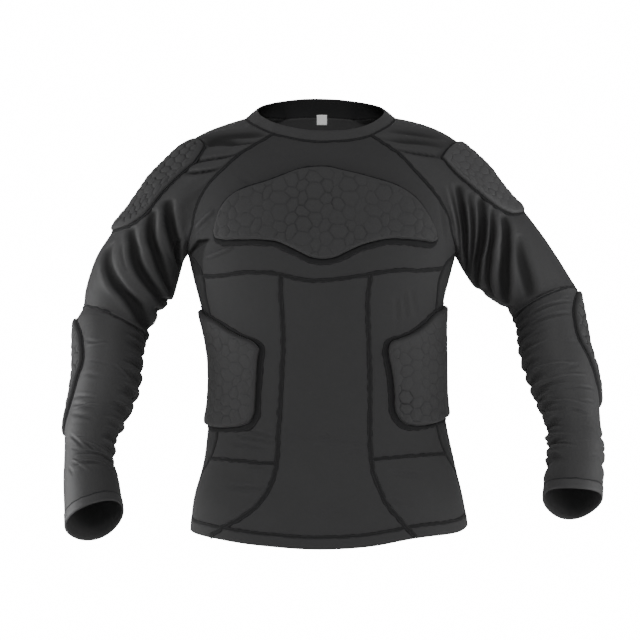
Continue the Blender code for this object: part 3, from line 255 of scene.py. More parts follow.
# Forearm creases: degrees and reach at the start and end, half width, depth
FOREARM_CREASES = {
    Side.RIGHT: (
        (62, 5.1, 222, 5.21, 2.8, 2.6), (42, 7.1, 84, 7.35, 2.3, 0.8), (112, 7.9, 208, 8, 2.3, 2.3),
        (54, 8.75, 90, 8.95, 2.3, 0.8), (106, 9.1, 210, 9.36, 2.3, 2.4), (26, 9.6, 88, 9.88, 2.6, 1),
        (104, 10.05, 208, 10.09, 2.5, 2.6), (27, 9.98, 96, 10.5, 2.6, 1.2),
        (38, 10.55, 108, 11.05, 2.8, 1.4), (118, 10.72, 222, 10.74, 3.4, -4.9),
        (120, 11.3, 222, 11.32, 3.1, 3.6), (38, 11.45, 88, 12.8, 3.1, 1.4), (82, 12.3, 112, 12.92, 2, 2.2),
        (60, 12.95, 192, 13.15, 2.2, 2.6), (58, 13.6, 142, 13.86, 2.2, 2.6), (42, 13.6, 62, 14.1, 2.3, 1),
    ),
    Side.LEFT: (
        (44, 5.08, 216, 5.21, 2.8, 2.6), (36, 6.08, 150, 5.98, 2.3, 1.8), (44, 6.68, 150, 6.58, 2.3, 1.8),
        (112, 7.95, 204, 7.97, 2.3, 2.3), (114, 8.74, 198, 8.77, 2.3, 2), (56, 9.13, 106, 9.42, 2.3, 0.8),
        (128, 9.4, 204, 9.41, 2.3, 2), (76, 9.96, 204, 9.78, 2.3, 2), (28, 10.35, 112, 10.46, 2.3, 0.8),
        (128, 10.72, 216, 10.13, 2.3, 2.3), (102, 11.42, 214, 10.92, 2.6, 2.6),
        (62, 11.76, 108, 11.45, 2, 1.5), (110, 12.42, 208, 11.57, 2.5, 2.4),
        (130, 12.75, 222, 12.23, 2.6, -4.3), (100, 13.62, 222, 12.69, 2.8, 3.4),
        (108, 14.28, 212, 13.64, 2.6, 2.7),
    ),
}
BACK_FOREARM = (
    (208, 6.2, 256, 6, 3.4, 1.8), (205, 7.4, 250, 7.1, 3.4, 2), (210, 8.3, 262, 8.5, 3.4, 1.6),
    (204, 9.2, 246, 9, 3.2, 2.2), (212, 10.3, 258, 10.6, 3.2, 2), (206, 11.6, 250, 11.9, 3.2, 2.2),
    (210, 12.6, 262, 12.9, 3.2, 2), (205, 13.5, 250, 13.8, 3.2, 2),
)

# Gathers on the inner side of the forearm: reach and depth of each hollow
GATHERS = {
    Side.RIGHT: (
        (5.65, 3.8), (6.32, 3), (6.93, 4), (7.86, 4.4), (8.65, 3.4), (9.4, 4.8), (10.27, 3.6), (11.65, 6),
        (12.4, 3), (13.2, 2.4),
    ),
    Side.LEFT: (
        (5.82, 3.6), (6.4, 3), (7.01, 3.8), (7.68, 3.4), (8.51, 4.2), (9.27, 3.8), (10.08, 4.4), (11, 4.4),
        (12, 5), (13.14, 6), (14.2, 4.4),
    ),
}
# Raised lines where the forearm's cloth pulls: degrees and reach at the start and end
FOREARM_PULLS = {
    Side.RIGHT: (
        (51, 7.39, 95, 7.26), (100, 8.2, 146, 8.9), (44, 10.3, 101, 10.27), (88, 12.3, 165, 13),
        (53, 13.2, 99, 14.2),
    ),
    Side.LEFT: (
        (117, 7.12, 176, 7.3), (97, 7.76, 170, 7.9), (61, 9.1, 154, 8.78), (46, 9.63, 163, 9.6),
        (57, 11.3, 160, 10.75), (99, 13, 160, 12.57), (90, 13.8, 163, 13.33),
    ),
}
CUFF_BUMPS = {
    Side.RIGHT: (),
    Side.LEFT: (
        (-34, 12.5, 44, 12.7, 4.4, 2.6), (-34, 13.3, 40, 13.5, 4.4, 3), (-30, 14.1, 40, 14.2, 4, 2.6),
    ),
}

# Front creases: distance around from the front centre and height at the start and end, half width, depth
FRONT_CREASES = (
    (-192, -163, -156, -139, 2.8, -4.8), (-191, -170, -164, -156, 2.4, -1.8),
    (-184, -149, -160, -135, 2.4, -1.6), (-172, -205, -128, -191, 2.6, -4.4),
    (-222, -199, -163, -178, 3.4, 3.4), (-120, -447, -73, -458, 2.6, 1.7),
    (-133, -455, -74, -465, 2.6, 1.7), (-144, -466, -80, -475, 2.8, 1.5), (-118, -497, -79, -503, 2.8, 1.5),
    (-146, -527, -83, -529, 3, 1.5), (-67, -459, 4, -455, 4, 0.9), (-13, -457, 58, -466, 4, 1),
    (12, -470, 58, -478, 4, 0.8), (107, -260, 105, -300, 4, 1), (118, -254, 120, -294, 4, 1),
    (130, -246, 137, -286, 4.5, 1), (171, -118, 189, -182, 5, 1.8), (100, -174, 152, -196, 4, 0.8),
    (-82, -112, -118, -92, 4, 1), (84, -505, 142, -512, 4, 0.8), (60, -545, 120, -552, 5, 0.7),
    (-40, -560, 30, -566, 6, 0.7),
)
# Dark cloth by the right armpit: distance around and height on its outline
PIT_PANEL = (
    (-217, -194), (-203.4, -189), (-190.3, -181.5), (-184.3, -179), (-169.3, -179.5), (-172.3, -185.5),
    (-178.2, -196.5), (-182.4, -210.5), (-183, -228), (-240, -228), (-240, -194),
)
# Its seams, dark lines with painted shadow along them: distance around and height at the start and end, half
# width, darkness
PIT_SEAMS = (
    (-226, -201, -182, -178, 3, 1.1), (-194, -182, -163, -179.5, 2.4, 0.9),
)
# Back creases: distance around from the back centre and height at the start and end, half width, depth
BACK_CREASES = (
    (-125, -350, 70, -359, 5.5, 2.4), (-60, -383, 135, -374, 5.5, 2.6), (-140, -410, 75, -421, 5.5, 2.4),
    (-70, -447, 145, -438, 5.5, 2.2), (-160, -226, -56, -276, 5, 2), (160, -226, 58, -278, 5, 2),
    (-140, -250, -70, -300, 5, 1.6), (142, -252, 80, -298, 5, 1.6), (-130, -156, -66, -208, 5, 2.2),
    (130, -156, 68, -210, 5, 2.2), (-44, -84, -30, -190, 6, 1.4), (40, -84, 28, -182, 6, 1.4),
    (-95, -520, 25, -529, 6, 1.4), (5, -553, 115, -545, 6, 1.4), (-40, -470, 60, -476, 5, 1.4),
)

# Painted light: how much lighter each shoulder pad is than the other pads
SHOULDER_PAD_LIGHT = {Side.RIGHT: 0.0, Side.LEFT: 0.9}

# Painted shade: how much darker each sleeve is towards the body; painted light: how much lighter it is on its
# outer side
INNER_SHADE = {Side.RIGHT: 0.5, Side.LEFT: 0.36}
OUTER_LIGHT = {Side.RIGHT: 0.58, Side.LEFT: 0.0}

# Where the sleeve pads sit: reach of the upper end, degrees of the middle line
SHOULDER_SEAT = {Side.RIGHT: (0.20, 18.0), Side.LEFT: (0.20, 26.0)}
ELBOW_SEAT = {Side.RIGHT: (5.80, -22.0), Side.LEFT: (5.12, -20.0)}


def unit(vectors: Array) -> Array:
    """Scale vectors to length one."""
    length = np.linalg.norm(vectors, axis=-1, keepdims=True)
    return vectors / np.maximum(length, 1e-9)


def ease(values: Array, low: float, high: float) -> Array:
    """Smooth step from 0 at low to 1 at high."""
    share = np.clip((np.asarray(values, float) - low) / (high - low), 0, 1)
    return share * share * (3 - 2 * share)


def run_length(points: Array) -> Array:
    """Distance along a line of points, starting at 0."""
    steps = np.linalg.norm(np.diff(points, axis=0), axis=1)
    return np.concatenate([[0], np.cumsum(steps)])


def paired(first: Array, second: Array) -> Sequence[Array]:
    """Two sets of numbers brought to one shape."""
    return np.broadcast_arrays(np.asarray(first, float), np.asarray(second, float))


def wrapped(turn: Array) -> Array:
    """Degrees brought to between -180 and 180."""
    return (np.asarray(turn, float) + 180) % 360 - 180


def step_along(points: Array, closed: bool, axis: int = 0) -> Array:
    """Step from the point before each point to the point after it."""
    if closed:
        return np.roll(points, -1, axis=axis) - np.roll(points, 1, axis=axis)
    return np.gradient(points, axis=axis)


def curve_weights(t: Array) -> tuple[Array, Array, Array, Array]:
    """Weights of the first point, its slope, the last point and its slope on a smooth curve."""
    return 2 * t**3 - 3 * t**2 + 1, t**3 - 2 * t**2 + t, 3 * t**2 - 2 * t**3, t**3 - t**2


class Track:
    """Smooth line through table rows, read by the rows' first column."""

    def __init__(self, rows: Rows) -> None:
        """Sort the rows and work out their slopes."""
        table = np.array(sorted(rows), dtype=float)
        self.knots = table[:, 0]
        self.values = table[:, 1:]
        step = np.diff(self.knots)[:, None]
        slope = np.diff(self.values, axis=0) / step
        middle = (slope[:-1] * step[1:] + slope[1:] * step[:-1]) / (step[1:] + step[:-1])
        self.slopes = np.vstack([slope[:1], middle, slope[-1:]])

    def __call__(self, where: Array) -> Array:
        """Read the line.

        Args:
            where: values of the first column.

        Returns:
            The other columns there, on the last axis.
        """
        spot = np.clip(np.asarray(where, dtype=float), self.knots[0], self.knots[-1])
        i = np.clip(np.searchsorted(self.knots, spot, side="right") - 1, 0, len(self.knots) - 2)
        width = (self.knots[i + 1] - self.knots[i])[..., None]
        t = (spot - self.knots[i])[..., None] / width
        a, b, c, d = curve_weights(t)
        start = a * self.values[i] + b * width * self.slopes[i]
        return start + (c * self.values[i + 1] + d * width * self.slopes[i + 1])


def path_track(points: Sequence[Array]) -> Track:
    """Smooth line through points, read by its share of length from 0 to 1."""
    line = np.asarray(points, dtype=float)
    run = run_length(line)
    return Track(np.column_stack([run / run[-1], line]).tolist())


class Level:
    """A seam that runs around the body: height by turn."""

    def __init__(self, rows: Rows) -> None:
        """Keep the rows as a track."""
        self.track = Track(rows)

    def height(self, turn: Array) -> Array:
        """Height of the seam at a turn in degrees."""
        return self.track(turn)[..., 0]

    def line(self, first: float, last: float, steps: int) -> Array:
        """Turns and heights of the seam between two turns."""
        turns = np.linspace(first, last, steps + 1)
        return np.column_stack([turns, self.height(wrapped(turns))])


class Upright:
    """A seam that runs up the body: turn by height."""

    ROUNDS = 40
    NODES = 241

    def __init__(self, rows: Rows, flip: float = 1) -> None:
        """Keep the rows as a track, mirrored where flip is minus one."""
        self.track = Track([(height, flip * turn) for height, turn in rows])

    def turn(self, height: Array) -> Array:
        """Turn of the seam at a height."""
        return self.track(height)[..., 0]

    def meets(self, level: Level, guess: float) -> Array:
        """Turn and height where this seam crosses a level seam, from a first guess of the height."""
        height = guess
        for _ in range(self.ROUNDS):
            height = float(level.height(self.turn(height)))
        return np.array([float(self.turn(height)), height])

    def line(self, low: float, high: float, steps: int) -> Array:
        """Turns and heights of the seam between two heights."""
        heights = np.linspace(low, high, self.NODES)
        points = BODY.point(self.turn(heights), heights)
        run = run_length(points)
        nodes = np.interp(np.linspace(0, run[-1], steps + 1), run, heights)
        return np.column_stack([self.turn(nodes), nodes])


def beside_line(start: Place, end: Place, x: Array, y: Array) -> tuple[Array, Array]:
    """Share of the way along a line, and distance across it."""
    ax, ay = start
    bx, by = end
    length = math.hypot(bx - ax, by - ay)
    ex, ey = (bx - ax) / length, (by - ay) / length
    return ((x - ax) * ex + (y - ay) * ey) / length, (x - ax) * -ey + (y - ay) * ex


@dataclass(frozen=True)
class Crease:
    """One soft trough or ridge on flattened cloth, from one place to another, in millimetres.

    A positive depth sinks the cloth and a negative one raises it.
    """

    POWER = 2.8
    LIP_PLACE = 1.9
    LIP_WIDTH = 0.8

    start: Place
    end: Place
    half_width: float
    depth: float
    bow: float = 0.0
    lip: float = 0.1
    taper: float = 0.5

    def sink(self, x: Array, y: Array) -> Array:
        """How far the cloth sinks at places on the flattened cloth."""
        share, across = beside_line(self.start, self.end, x, y)
        held = np.clip(share, 0, 1)
        offset = (across - self.bow * 4 * held * (1 - held)) / self.half_width
        fade = np.sin(np.pi * held) ** self.taper
        trough = np.exp(-np.abs(offset) ** self.POWER)
        shoulder = (np.exp(-((offset - self.LIP_PLACE) / self.LIP_WIDTH) ** 2)
                    + np.exp(-((offset + self.LIP_PLACE) / self.LIP_WIDTH) ** 2))
        return self.depth * fade * (trough - self.lip * shoulder)


def straight_creases(rows: Rows) -> list[Crease]:
    """Straight creases from rows of start, end, half width and depth."""
    return [Crease((ax, ay), (bx, by), width, depth) for ax, ay, bx, by, width, depth in rows]


def total_sink(creases: Iterable[Crease], x: Array, y: Array) -> Array:
    """Sum of what a set of creases sinks."""
    depth = np.zeros(np.broadcast(x, y).shape)
    for crease in creases:
        depth = depth + crease.sink(x, y)
    return depth


class BodyForm:
    """Outer face of the body part, by turn in degrees from the front and height."""

    SECTION_POWER = 2.4
    LOWEST = -640.0
    ROW_STEP = 5.0
    TURN_CELLS = 2.0
    REACH = 620
    HEIGHTS = np.arange(LOWEST, 31.0, ROW_STEP)
    TURNS = np.linspace(-180.0, 180.0, 721)

    def __init__(self) -> None:
        """Measure the way round the body at many heights."""
        self.sections = Track(TORSO)
        ring = self.point(self.TURNS[None, :], self.HEIGHTS[:, None])
        step = np.linalg.norm(np.diff(ring, axis=1), axis=2)
        run = np.concatenate([np.zeros((len(self.HEIGHTS), 1)), np.cumsum(step, axis=1)], axis=1)
        self.run = run - run[:, [len(self.TURNS) // 2]]
        self.reach = np.linspace(-self.REACH, self.REACH, 2 * self.REACH + 1)
        self.turn_table = np.array([np.interp(self.reach, row, self.TURNS) for row in self.run])

    def point(self, turn: Array, height: Array) -> Array:
        """Point of the plain body."""
        turn, height = paired(turn, height)
        centre, half_width, front, back = np.moveaxis(self.sections(height), -1, 0)
        side, ahead = np.sin(np.radians(turn)), np.cos(np.radians(turn))
        power = self.SECTION_POWER
        radius = (np.abs(side) ** power + np.abs(ahead) ** power) ** (-1 / power)
        depth = np.where(ahead > 0, front, back)
        return np.stack([centre + half_width * radius * side, -depth * radius * ahead, height], axis=-1)

    def normal(self, turn: Array, height: Array) -> Array:
        """Outward direction of the plain body."""
        around = self.point(np.add(turn, 0.5), height) - self.point(np.subtract(turn, 0.5), height)
        upward = self.point(turn, np.add(height, 1)) - self.point(turn, np.subtract(height, 1))
        return unit(np.cross(around, upward))

    @staticmethod
    def read_table(table: Array, row: Array, column: Array) -> Array:
        """Read a table between its cells."""
        row = np.clip(row, 0, table.shape[0] - 1.001)
        column = np.clip(column, 0, table.shape[1] - 1.001)
        i, j = row.astype(int), column.astype(int)
        a, b = row - i, column - j
        return ((1 - a) * (1 - b) * table[i, j] + (1 - a) * b * table[i, j + 1]
                + a * (1 - b) * table[i + 1, j] + a * b * table[i + 1, j + 1])

    def row_at(self, height: Array) -> Array:
        """Row of the tables at a height."""
        return (height - self.LOWEST) / self.ROW_STEP

    def distance(self, turn: Array, height: Array) -> Array:
        """Distance around the body from the front centre."""
        turn, height = paired(turn, height)
        return self.read_table(self.run, self.row_at(height), (wrapped(turn) + 180) * self.TURN_CELLS)

    def turn_at(self, distance: Array, height: Array) -> Array:
        """Turn after a distance around the body from the front centre."""
        distance, height = paired(distance, height)
        return self.read_table(self.turn_table, self.row_at(height), distance + self.REACH)

    def from_back(self, turn: Array, height: Array) -> Array:
        """Distance around the body from the back centre, plus to the wearer's left."""
        half = self.distance(179.99, height)
        far = self.distance(turn, height)
        return np.where(far >= 0, half - far, -half - far)


BODY = BodyForm()


class SleeveForm:
    """One sleeve: a cap from the armhole loop to the first ring, then a tube of rings.

    Reach 0 is the armhole, 1 the first ring, then one for each ring. Degrees start on the shoulder line
    and pass the front at 90.
    """

    GIRTH = 58.0
    RING_LENGTH = 30.0
    NODES = 120
    CAP_SLACK = 1.05
    AXIS_REACH = 0.2
    NORMAL_REACH = 0.02
    NORMAL_DEGREES = 2.0

    def __init__(self, side: Side) -> None:
        """Lay the armhole loop and the rings of one side."""
        self.side = side
        rings = np.array(SLEEVE_RINGS[side])
        index = np.arange(len(rings), dtype=float) + 1
        self.rings = Track(np.column_stack([index, rings]).tolist())
        self.last = float(index[-1])
        front, back = Upright(RAGLAN_FRONT[side]), Upright(RAGLAN_BACK[side])
        self.front_nodes = front.line(RAGLAN_FRONT[side][0][0], RAGLAN_FRONT[side][-1][0], self.NODES)
        self.back_nodes = back.line(RAGLAN_BACK[side][0][0], RAGLAN_BACK[side][-1][0], self.NODES)
        ends = BODY.point(*self.front_nodes[-1]), BODY.point(*self.back_nodes[-1])
        self.neck = path_track([ends[0], *NECK_SIDE[side], ends[1]])
        self.loop_degrees = np.arange(0, 360.5, 0.5)
        spots = [self.armhole(d) for d in self.loop_degrees]
        self.loop_points = np.array([s[0] for s in spots])
        self.loop_normals = np.array([s[1] for s in spots])
        first, _ = self.ring(self.loop_degrees, np.ones_like(self.loop_degrees))
        self.cap_length = self.CAP_SLACK * np.linalg.norm(first - self.loop_points, axis=1)

    def seam_spot(self, degrees: float) -> Array:
        """Turn and height on the body for the raglan and underarm part of the loop."""
        arc = 180 - UNDERARM_ARC - NECK_ARC
        steps = np.arange(self.NODES + 1)
        if degrees <= 180 - UNDERARM_ARC:
            line, at = self.front_nodes, self.NODES * (1 - (degrees - NECK_ARC) / arc)
        elif degrees >= 180 + UNDERARM_ARC:
            line, at = self.back_nodes, self.NODES * (degrees - 180 - UNDERARM_ARC) / arc
        else:
            share = (degrees - 180 + UNDERARM_ARC) / (2 * UNDERARM_ARC)
            return self.front_nodes[0] + share * (self.back_nodes[0] - self.front_nodes[0])
        return np.array([np.interp(at, steps, line[:, 0]), np.interp(at, steps, line[:, 1])])

    def armhole(self, degrees: float) -> tuple[Array, Array]:
        """Point of the armhole loop and the outward direction there."""
        degrees = degrees % 360
        if NECK_ARC <= degrees <= 360 - NECK_ARC:
            spot = self.seam_spot(degrees)
            return BODY.point(*spot), BODY.normal(*spot)
        share = (NECK_ARC - wrapped(degrees)) / (2 * NECK_ARC)
        top = unit(np.array([self.side.sign * SHOULDER_FALL[self.side], 0, 1]))
        ridge = 1 - abs(2 * share - 1)
        edge = BODY.normal(*(self.front_nodes if share < 0.5 else self.back_nodes)[-1])
        return self.neck(share), unit(ridge * top + (1 - ridge) * edge)

    @staticmethod
    def middle(row: Array) -> Array:
        """Middle of the tube from its table row."""
        return np.stack([0.5 * (row[..., 0] + row[..., 2]), row[..., 4],
                         0.5 * (row[..., 1] + row[..., 3])], axis=-1)

    def ring(self, degrees: Array, reach: Array) -> tuple[Array, Array]:
        """Tube points and the direction of the tube."""
        row = self.rings(reach)
        ahead = self.rings(np.minimum(reach + self.AXIS_REACH, self.last))
        behind = self.rings(np.maximum(reach - self.AXIS_REACH, 1))
        axis = unit(self.middle(ahead) - self.middle(behind))
        across = np.stack([0.5 * (row[..., 0] - row[..., 2]), np.zeros_like(row[..., 0]),
                           0.5 * (row[..., 1] - row[..., 3])], axis=-1)
        deep = unit(np.cross(axis, across))
        deep = deep * -np.sign(deep[..., 1:2]) * row[..., 5:6]
        angle = np.radians(degrees)[..., None]
        return self.middle(row) + across * np.cos(angle) + deep * np.sin(angle), axis

    def around_loop(self, degrees: Array, values: Array) -> Array:
        """Values of the armhole loop at degrees around it."""
        return np.interp(degrees % 360, self.loop_degrees, values)

    def plain(self, degrees: Array, reach: Array) -> Array:
        """Sleeve points before folds."""
        degrees, reach = paired(degrees, reach)
        tube, _ = self.ring(degrees, np.maximum(reach, 1))
        start = np.stack([self.around_loop(degrees, column) for column in self.loop_points.T], -1)
        out = unit(np.stack([self.around_loop(degrees, column) for column in self.loop_normals.T], -1))
        end, axis = self.ring(degrees, np.ones_like(reach))
        chord = np.linalg.norm(end - start, axis=-1, keepdims=True)
        under = (0.5 - 0.5 * np.cos(np.radians(degrees)))[..., None]
        keep = CAP_LEAVE[0] + (CAP_LEAVE[1] - CAP_LEAVE[0]) * under**3
        toward = unit(end - start)
        leave = unit(toward - keep * np.sum(toward * out, axis=-1, keepdims=True) * out)
        t = np.clip(reach, 0, 1)[..., None]
        a, b, c, d = curve_weights(t)
        cap = a * start + b * CAP_PULL[0] * chord * leave + c * end + d * CAP_PULL[1] * chord * axis
        lift, flatten = SHOULDER_SWING[self.side]
        wave = np.where(t < 0.5, lift, -flatten) * np.sin(2 * math.pi * t) ** 2 * (1 - under) ** 3
        cap = cap + wave * np.array(SWING_WAY) * np.array([self.side.sign, 1, 1])
        return np.where((reach >= 1)[..., None], tube, cap)

    def normal(self, degrees: Array, reach: Array) -> Array:
        """Outward direction of the sleeve before folds."""
        low = np.maximum(np.subtract(reach, self.NORMAL_REACH), 0)
        high = np.minimum(np.add(reach, self.NORMAL_REACH), self.last)
        around = (self.plain(np.add(degrees, self.NORMAL_DEGREES), reach)
                  - self.plain(np.subtract(degrees, self.NORMAL_DEGREES), reach))
        along = self.plain(degrees, high) - self.plain(degrees, low)
        return self.side.sign * unit(np.cross(around, along))

    def flat(self, degrees: Array, reach: Array) -> tuple[Array, Array]:
        """Place on the flattened sleeve: around, and along from the first ring."""
        degrees, reach = paired(degrees, reach)
        cap = self.around_loop(degrees, self.cap_length)
        along = np.where(reach < 1, (reach - 1) * cap, (reach - 1) * self.RING_LENGTH)
        return np.radians((degrees + 90) % 360 - 90) * self.GIRTH, along


SLEEVES = {side: SleeveForm(side) for side in Side}


# Meshes


@dataclass
class Sheet:
    """A grid of cloth points ready to become a shell."""

    LEAN = 0.15

    points: Array
    plain: Array
    shade: Array
    outward: Array
    closed: bool = False
    lining_step: int = 1

    def normals(self) -> Array:
        """Outward directions of the creased cloth."""
        around = step_along(self.points, self.closed, axis=1)
        normal = unit(np.cross(around, np.gradient(self.points, axis=0)))
        side = np.sign(np.sum(normal * self.outward, axis=-1, keepdims=True))
        mixed = normal * np.where(side == 0, 1, side)
        return unit(mixed + self.LEAN * self.outward)

    def faces_inward(self) -> bool:
        """Whether the grid's own order of points turns its faces inward."""
        facing = np.cross(np.diff(self.points[:-1], axis=1), np.diff(self.points[:, :-1], axis=0))
        return bool(np.sum(facing * self.outward[:-1, :-1]) < 0)

    def spans(self) -> tuple[Array, Array, Array]:
        """Plain points, closed where the cloth closes on itself, and their steps across and along."""
        wide = np.concatenate([self.plain, self.plain[:, :1]], axis=1) if self.closed else self.plain
        across = np.linalg.norm(np.diff(wide, axis=1), axis=2)
        return wide, across, np.linalg.norm(np.diff(wide, axis=0), axis=2)

    def flat_size(self) -> tuple[float, float, float]:
        """Cut width, cut length and cut area of the plain cloth, in metres."""
        wide, across, along = self.spans()
        a, b = wide[:-1, 1:] - wide[:-1, :-1], wide[1:, :-1] - wide[:-1, :-1]
        area = np.linalg.norm(np.cross(a, b), axis=2).sum() * METRE**2
        return across.sum(axis=1).max() * METRE, along.sum(axis=0).max() * METRE, area

    def texture_spots(self) -> Array:
        """Cloth coordinates in metres, with one column more where the cloth closes on itself."""
        _, across, along = self.spans()
        u = np.concatenate([[0], np.cumsum(across.mean(axis=0))])
        v = np.concatenate([[0], np.cumsum(along.mean(axis=1))])
        return np.stack(np.broadcast_arrays(u[None, :], v[:, None]), axis=-1) * METRE


def into_scene(name: str, data: bpy.types.ID) -> Piece:
    """Put data in the scene as a new object."""
    item = bpy.data.objects.new(name, data)
    bpy.context.scene.collection.objects.link(item)
    return item


def make_piece(name: str, vertices: Array, faces: Sequence[Sequence[int]], materials: Sequence[Material],
               corners: Array, shade: Array | None = None, choice: Array | None = None) -> Piece:
    """Make one smooth object.

    Args:
        name: name of the piece.
        vertices: points in millimetres.
        faces: vertex numbers of each face.
        materials: materials of the piece, in order.
        corners: texture place of every face corner, in metres.
        shade: painted shade at each vertex, mostly from 0 to 1, negative where light is painted.
        choice: which material each face takes.

    Returns:
        The new object, in the scene.
    """
    mesh = bpy.data.meshes.new(name)
    mesh.from_pydata((np.asarray(vertices) * METRE).tolist(), [], faces)
    for material in materials:
        mesh.materials.append(material)
    mesh.polygons.foreach_set("use_smooth", np.ones(len(mesh.polygons), dtype=bool))
    if choice is not None:
        mesh.polygons.foreach_set("material_index", np.asarray(choice, dtype=np.int32))
    layer = mesh.uv_layers.new(name="cloth")
    layer.data.foreach_set("uv", np.asarray(corners, dtype=np.float32).ravel())
    # Each vertex's painted shade, negative where light is painted, kept as the crease attribute
    depth = mesh.attributes.new("crease", "FLOAT", "POINT")
    values = np.zeros(len(vertices)) if shade is None else shade
    depth.data.foreach_set("value", np.asarray(values, dtype=np.float32))
    mesh.update()
    return into_scene(name, mesh)


def grid_quads(points: Array, closed: bool, spots: Array, first: int,
               looped: bool = False) -> tuple[Array, Array]:
    """Quads over a grid of points, numbered from the first, and the texture places of their corners.

    A closed grid joins the ends of its rows, and a looped one its last row to its first.
    """
    rows, columns = points.shape[:2]
    r, c = np.meshgrid(np.arange(rows if looped else rows - 1), np.arange(columns if closed else columns - 1),
                       indexing="ij")
    r, c = r.ravel(), c.ravel()
    d, e = (c + 1) % columns, (r + 1) % rows
    quads = np.column_stack([r * columns + c, r * columns + d, e * columns + d, e * columns + c])
    corners = np.stack([spots[r, c], spots[r, c + 1], spots[r + 1, c + 1], spots[r + 1, c]], axis=1)
    return quads + first, corners


EDGE_ROUND = 0.45


def shell(name: str, sheet: Sheet, wall: Array | float, outside: Material, lining: Material) -> Piece:
    """Closed thin shell on a sheet, its edges rounded where the sheet is a ring.

    Args:
        name: name of the piece.
        sheet: the cloth's outer grid.
        wall: thickness, or one thickness a row.
        outside: material of the face and the edges.
        lining: material of the inner face.

    Returns:
        The new object.
    """
    outer = sheet.points
    rows, columns = outer.shape[:2]
    behind = outer - np.reshape(wall, (-1, 1, 1)) * sheet.normals()
    step = sheet.lining_step
    inner = behind[:, ::step]
    spots = sheet.texture_spots()
    count, lining_columns = rows * columns, inner.shape[1]
    face_out, uv_out = grid_quads(outer, sheet.closed, spots, 0)
    face_in, uv_in = grid_quads(inner, sheet.closed, spots[:, ::step], count)
    faces, corners = [face_out, face_in[:, ::-1]], [uv_out, uv_in[:, ::-1]]
    vertices = [outer.reshape(-1, 3), inner.reshape(-1, 3)]
    shade = [sheet.shade.ravel(), sheet.shade[:, ::step].ravel()]
    total = count + rows * lining_columns
    ring = np.arange(columns if sheet.closed else columns - 1)
    after = (ring + 1) % columns
    span = np.arange(0, columns, step)
    for row, beside, flip in ((0, 1, 1), (rows - 1, rows - 2, -1)):
        a, b = row * columns + ring, row * columns + after
        near = spots[row]
        if sheet.closed:
            thick = np.linalg.norm(outer[row] - behind[row], axis=1)[:, None]
            lip = 0.5 * (outer[row] + behind[row]) + EDGE_ROUND * thick * unit(outer[row] - outer[beside])
            vertices.append(lip)
            shade.append(sheet.shade[row])
            under = count + row * lining_columns + span // step
            lip_run = [span + k for k in range(step, -1, -1)]
            strips = [(np.column_stack([b, a, total + ring, total + after]),
                       np.stack([near[ring + 1], near[ring], near[ring], near[ring + 1]], axis=1)),
                      (np.column_stack([total + k % columns for k in lip_run] + [under, np.roll(under, -1)]),
                       np.stack([near[k] for k in lip_run] + [near[span], near[span + step]], axis=1))]
            total += columns
        else:
            strips = [(np.column_stack([b, a, a + count, b + count]),
                       np.stack([near[ring + 1], near[ring], near[ring], near[ring + 1]], axis=1))]
        for strip, strip_spots in strips:
            faces.append(strip[:, ::flip])
            corners.append(strip_spots[:, ::flip])
    if not sheet.closed:
        lift = np.arange(rows - 1)
        for column, flip in ((0, -1), (columns - 1, 1)):
            a, b = lift * columns + column, (lift + 1) * columns + column
            faces.append(np.column_stack([b, a, a + count, b + count])[:, ::flip])
            corners.append(np.stack([spots[lift, column]] * 4, axis=1))
    turn = -1 if sheet.faces_inward() else 1
    choice = np.concatenate([np.full(len(block), number == 1) for number, block in enumerate(faces)])
    faces_all = [face for block in faces for face in block[:, ::turn].tolist()]
    corners_all = np.concatenate([block[:, ::turn].reshape(-1, 2) for block in corners])
    return make_piece(name, np.vstack(vertices), faces_all, (outside, lining), corners_all,
                      np.concatenate(shade), choice)


def fill(bottom: Array, top: Array, left: Array, right: Array) -> Array:
    """Turn and height of every node of a panel from its four edges."""
    u = np.linspace(0, 1, len(bottom))[None, :, None]
    v = np.linspace(0, 1, len(left))[:, None, None]
    ruled = (1 - v) * bottom[None] + v * top[None] + (1 - u) * left[:, None] + u * right[:, None]
    corners = ((1 - u) * (1 - v) * bottom[0] + u * (1 - v) * bottom[-1]
               + (1 - u) * v * top[0] + u * v * top[-1])
    return ruled - corners


def join(*lines: Array) -> Array:
    """Lines set end to end, the shared nodes kept once."""
    return np.vstack([lines[0]] + [line[1:] for line in lines[1:]])


# Flat outlines


def smooth_outline(rows: Rows, step: float = 2.5) -> Array:
    """Closed outline through its rows, at even steps, turning to the left."""
    ring = np.array(rows, dtype=float)
    padded = np.vstack([ring[-3:], ring, ring[:4]])
    run = run_length(padded)
    track = Track(np.column_stack([run, padded]).tolist())
    first, last = run[3], run[3 + len(ring)]
    points = track(np.linspace(first, last, int(round((last - first) / step)), endpoint=False))
    x, y = points[:, 0], points[:, 1]
    area = np.sum(x * np.roll(y, -1) - np.roll(x, -1) * y)
    return points if area > 0 else points[::-1]


def inset(points: Array, amount: Array | float) -> Array:
    """Closed outline drawn in by an amount."""
    along = unit(step_along(points, True))
    return points + np.reshape(amount, (-1, 1)) * np.column_stack([-along[:, 1], along[:, 0]])


def inside(points: Array, outline: Array) -> Array:
    """Which points lie inside a closed outline."""
    x, y = points.T[:, :, None]
    ax, ay = outline.T
    bx, by = np.roll(outline, -1, axis=0).T
    spans = (ay > y) != (by > y)
    rise = np.where(np.abs(by - ay) < TINY, TINY, by - ay)
    hits = spans & (x < (bx - ax) * (y - ay) / rise + ax)
    return hits.sum(axis=1) % 2 == 1


def outline_distance(points: Array, outline: Array) -> Array:
    """Distance of points from a closed outline."""
    a, b = outline, np.roll(outline, -1, axis=0)
    best = np.full(len(points), FAR)
    for start, end in zip(a, b):
        span = end - start
        share = np.clip((points - start) @ span / max(float(span @ span), 1e-9), 0, 1)
        best = np.minimum(best, np.linalg.norm(points - start - share[:, None] * span, axis=1))
    return best


# Where pads and creases lie


